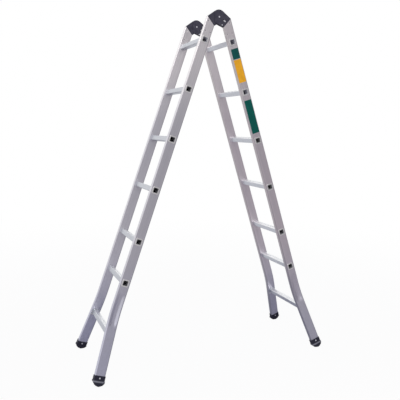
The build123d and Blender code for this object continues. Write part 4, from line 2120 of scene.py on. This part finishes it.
@dataclass
class Ladder:
    """The whole ladder: its finishes, its pieces and where they go.

    Attributes:
        stance: How the flights stand.
        layout: Places shared by the pieces.
        palette: The finishes.
        patches: The blank films.
        finishes: The materials by name, once they are made.
    """

    stance: Stance
    layout: Layout = Layout()
    palette: Palette = Palette()
    patches: tuple[Patch, ...] = (
        Patch("upper_green_film", 0.195, 0.256, (0.004, 0.082, 0.074)),
        Patch("amber_film", 0.260, 0.396, (0.86, 0.42, 0.024)),
        Patch("lower_green_film", 0.505, 0.709, (0.001, 0.096, 0.078)),
    )
    finishes: dict[str, Material] = field(default_factory=dict)

    def place(self, side: Side, near: bool, local: Matrix | None = None) -> Matrix:
        """Gives where a near piece goes.

        Args:
            side: The flight.
            near: Whether it stays at the near end or is mirrored to the far one.
            local: Its place in the leg frame.

        Returns:
            The matrix to the row frame.
        """
        leg = self.stance.leg(side)
        if not near:
            leg = leg @ Matrix.Scale(-1.0, 4, Y_AXIS)
        return leg if local is None else leg @ local

    def mix_finishes(self) -> None:
        """Makes the materials."""
        colours, lay = self.palette, self.layout
        stiles = {Side.LEFT: colours.left_stile, Side.RIGHT: colours.right_stile}
        rungs = {Side.LEFT: colours.left_rung, Side.RIGHT: colours.right_rung}
        for side in Side:
            leg, key = self.stance.leg(side), side.value
            self.finishes[f"stile_{key}"] = stiles[side].build(f"stile_aluminium_{key}", leg, lay)
            self.finishes[f"rung_{key}"] = rungs[side].build(f"rung_aluminium_{key}", leg, lay)
            self.finishes[f"tread_{key}"] = colours.tread.build(f"tread_aluminium_{key}", leg, lay)
            self.finishes[f"hinge_{key}"] = colours.hinge.build(f"hinge_black_{key}", leg)
            self._mix_rubber(side)
        for name in ("lock_steel", "rivet_steel", "shaded_rivet_steel"):
            self.finishes[name] = getattr(colours, name).build(name)
        self.finishes["bore"] = colours.bore.build("rung_bore")

    def _mix_rubber(self, side: Side) -> None:
        """Makes the materials of a flight's feet, each in its own frame.

        Args:
            side: The flight.
        """
        foot = Foot(self.layout)
        leg = self.stance.leg(side)
        about = Matrix.Rotation(math.pi, 4, "Z") @ Matrix.Translation(-2 * self.layout.centre_x * X_AXIS)
        for near, home in ((True, leg @ foot.frame), (False, leg @ about @ foot.frame)):
            name = f"foot_{side.value}_{side.end(near)}"
            self.finishes[name] = self.palette.rubber.build(name, home, foot.ledge)

    def dress_solids(self, frame: dict[str, Any]) -> None:
        """Gives the solids that stay in sight their finishes.
        """
        for part in frame["record"]["subparts"]:
            node, slot = part["node"], part["material_slot"]
            material = self.finishes.get(slot) or self.finishes["hinge_right"]
            frame["nodes"][node].data.materials.clear()
            frame["nodes"][node].data.materials.append(material)

    def _fit(self, piece: Workpiece, node: str, form: str, body: str, slot: str, *keys: str) -> None:
        """Shades a piece that stands for one solid, and installs it.

        Args:
            piece: The piece in its place.
            node: The solid.
            form: What the piece is, for the end of its name.
            body: The body that it rides on.
            slot: The record's material slot.
            keys: Names of its finishes.
        """
        finishes = [self.finishes[key] for key in keys]
        piece.smooth().install(f"{node}_{form}", body, [node], slot, *finishes)

    def build_stiles(self) -> None:
        """Builds the four stiles."""
        proto = Stile(self.layout).model()
        for side in Side:
            for near in (True, False):
                node = f"{side.value}_{side.end(near)}_stile"
                copy = proto.twin(self.place(side, near))
                self._fit(copy, node, "tube", side.body, "stile_aluminium", f"stile_{side.value}")
        proto.discard()

    def build_rungs(self) -> None:
        """Builds the fourteen rungs."""
        rungs = Rungs(self.layout)
        through, bottom = rungs.model_through(), rungs.model_bottom()
        drops = (*self.layout.rungs, self.layout.bottom_rung)
        for side in Side:
            keys = f"rung_{side.value}", "bore", f"tread_{side.value}"
            for number, drop in enumerate(drops, start=1):
                proto = bottom if number == len(drops) else through
                local = Matrix.Translation((self.layout.centre_x, 0.0, -drop))
                copy = proto.twin(self.place(side, True, local))
                self._fit(copy, f"{side.value}_rung_{number}", "tube", side.body, "rung_aluminium", *keys)
        through.discard()
        bottom.discard()

    def build_feet(self) -> None:
        """Builds the four feet and their rivets."""
        foot = Foot(self.layout)
        proto = foot.model(self.stance.up_in_leg)
        rivet = Rivet(foot.sleeve[1]).model()
        for side in Side:
            rivets = []
            for near in (True, False):
                end = side.end(near)
                copy = proto.twin(self.place(side, near))
                key = f"foot_{side.value}_{end}"
                self._fit(copy, f"{side.value}_{end}_foot", "cap", side.body, "foot_rubber", key)
                rivets.append(rivet.twin(self.place(side, near, foot.rivet_frame)))
            both, node = rivets[0].join(*rivets[1:]), f"{side.value}_foot_rivets"
            self._fit(both, node, "domed", side.body, "rivet_steel", "lock_steel")
        proto.discard()
        rivet.discard()

    def _set_both_ends(self, proto: Workpiece, side: Side, places: list[Matrix]) -> Workpiece:
        """Sets copies of a piece at both ends of a flight, as one piece.

        Args:
            proto: What is copied.
            side: The flight.
            places: The copies' places in the leg frame, at the near end.

        Returns:
            The copies.
        """
        copies = [proto.twin(self.place(side, near, local)) for near in (True, False) for local in places]
        return copies[0].join(*copies[1:])

    def build_rung_rivets(self) -> None:
        """Builds the rivets of the bottom rungs."""
        rungs = Rungs(self.layout)
        thick = rungs.flange[2]
        grip = thick + self.layout.wall
        proto = Rivet(grip).model()
        axis = Matrix.Translation((self.layout.centre_x, 0.0, -self.layout.bottom_rung)) @ rungs.wall_frame()
        aside = rungs.flange_rivets / 2
        places = [axis @ Matrix.Translation((x, thick - grip / 2, 0.0)) for x in (-aside, aside)]
        for side in Side:
            copies = self._set_both_ends(proto, side, places)
            node = f"{side.value}_bottom_rung_rivets"
            self._fit(copies, node, "domed", side.body, "rivet_steel", "rivet_steel")
        proto.discard()

    def build_hinges(self) -> None:
        """Builds the two locking hinges and all their rivets."""
        hinge = Hinge(self.layout, self.stance.lean)
        left, right = Side.LEFT, Side.RIGHT
        middle = Matrix.Translation(-self.layout.centre_y * Y_AXIS)
        inside = middle @ Matrix.Scale(-1.0, 4, Y_AXIS)
        leaf, cheek, bolt = hinge.model_leaf(), hinge.model_cheek(), hinge.model_bolt()
        pin, spacer, rivet = hinge.model_pin(), hinge.model_spacer_rivet(), DishedRivet().model()
        pins, spacers = [], []
        for near in (True, False):
            copy = leaf.twin(self.place(left, near, middle))
            self._fit(copy, f"{left.end(near)}_hinge_leaf", "plate", left.body, "hinge_black", "hinge_left")
            for node, local in (("outer_cheek", middle), ("inner_cheek", inside)):
                copy = cheek.twin(self.place(right, near, local))
                node = f"{right.end(near)}_{node}"
                self._fit(copy, node, "plate", right.body, "hinge_black", "hinge_right")
            copy = bolt.twin(self.place(right, near, middle))
            node = f"{right.end(near)}_lock_bolt"
            self._fit(copy, node, "bar", node, "lock_steel", "lock_steel")
            pins.append(pin.twin(self.place(left, near, middle)))
            spacers.append(spacer.twin(self.place(right, near, middle)))
        both, pivot = pins[0].join(*pins[1:]), self.stance.pivot
        both.line(lambda place, facing: math.hypot(place.x - pivot.x, place.z - pivot.z) > hinge.pin_bright)
        self._fit(both, "pivot_pins", "riveted", left.body, "lock_steel", "lock_steel", "hinge_left")
        both = spacers[0].join(*spacers[1:])
        self._fit(both, "cheek_spacer_rivets", "domed", right.body, "rivet_steel", "lock_steel")
        places = [middle @ Matrix.Translation(spot) for spot in self.layout.rivet_spots]
        for side in Side:
            rivets = self._set_both_ends(rivet, side, places)
            self._fit(rivets, f"{side.value}_hinge_rivets", "dished", side.body, "rivet_steel", "shaded_rivet_steel")
        for proto in (leaf, cheek, bolt, pin, spacer, rivet):
            proto.discard()

    def build_patches(self) -> None:
        """Builds the blank films on the right front stile."""
        leg = self.stance.leg(Side.RIGHT)
        for patch in self.patches:
            finish = FilmFinish(patch.colour).build(patch.name, leg)
            film = patch.model(self.layout).settle(leg).smooth()
            film.install(patch.name, Side.RIGHT.body, [], "stile_aluminium", finish)


def main() -> None:
    """Builds the ladder's looks and the studio."""
    logging.basicConfig(level=logging.INFO, format="%(message)s")
    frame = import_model()
    stance = Stance.read(frame)
    Studio().build(stance.pivot)
    ladder = Ladder(stance)
    ladder.mix_finishes()
    ladder.dress_solids(frame)
    ladder.build_stiles()
    ladder.build_rungs()
    ladder.build_feet()
    ladder.build_rung_rivets()
    ladder.build_hinges()
    ladder.build_patches()


if __name__ == "__main__":
    main()
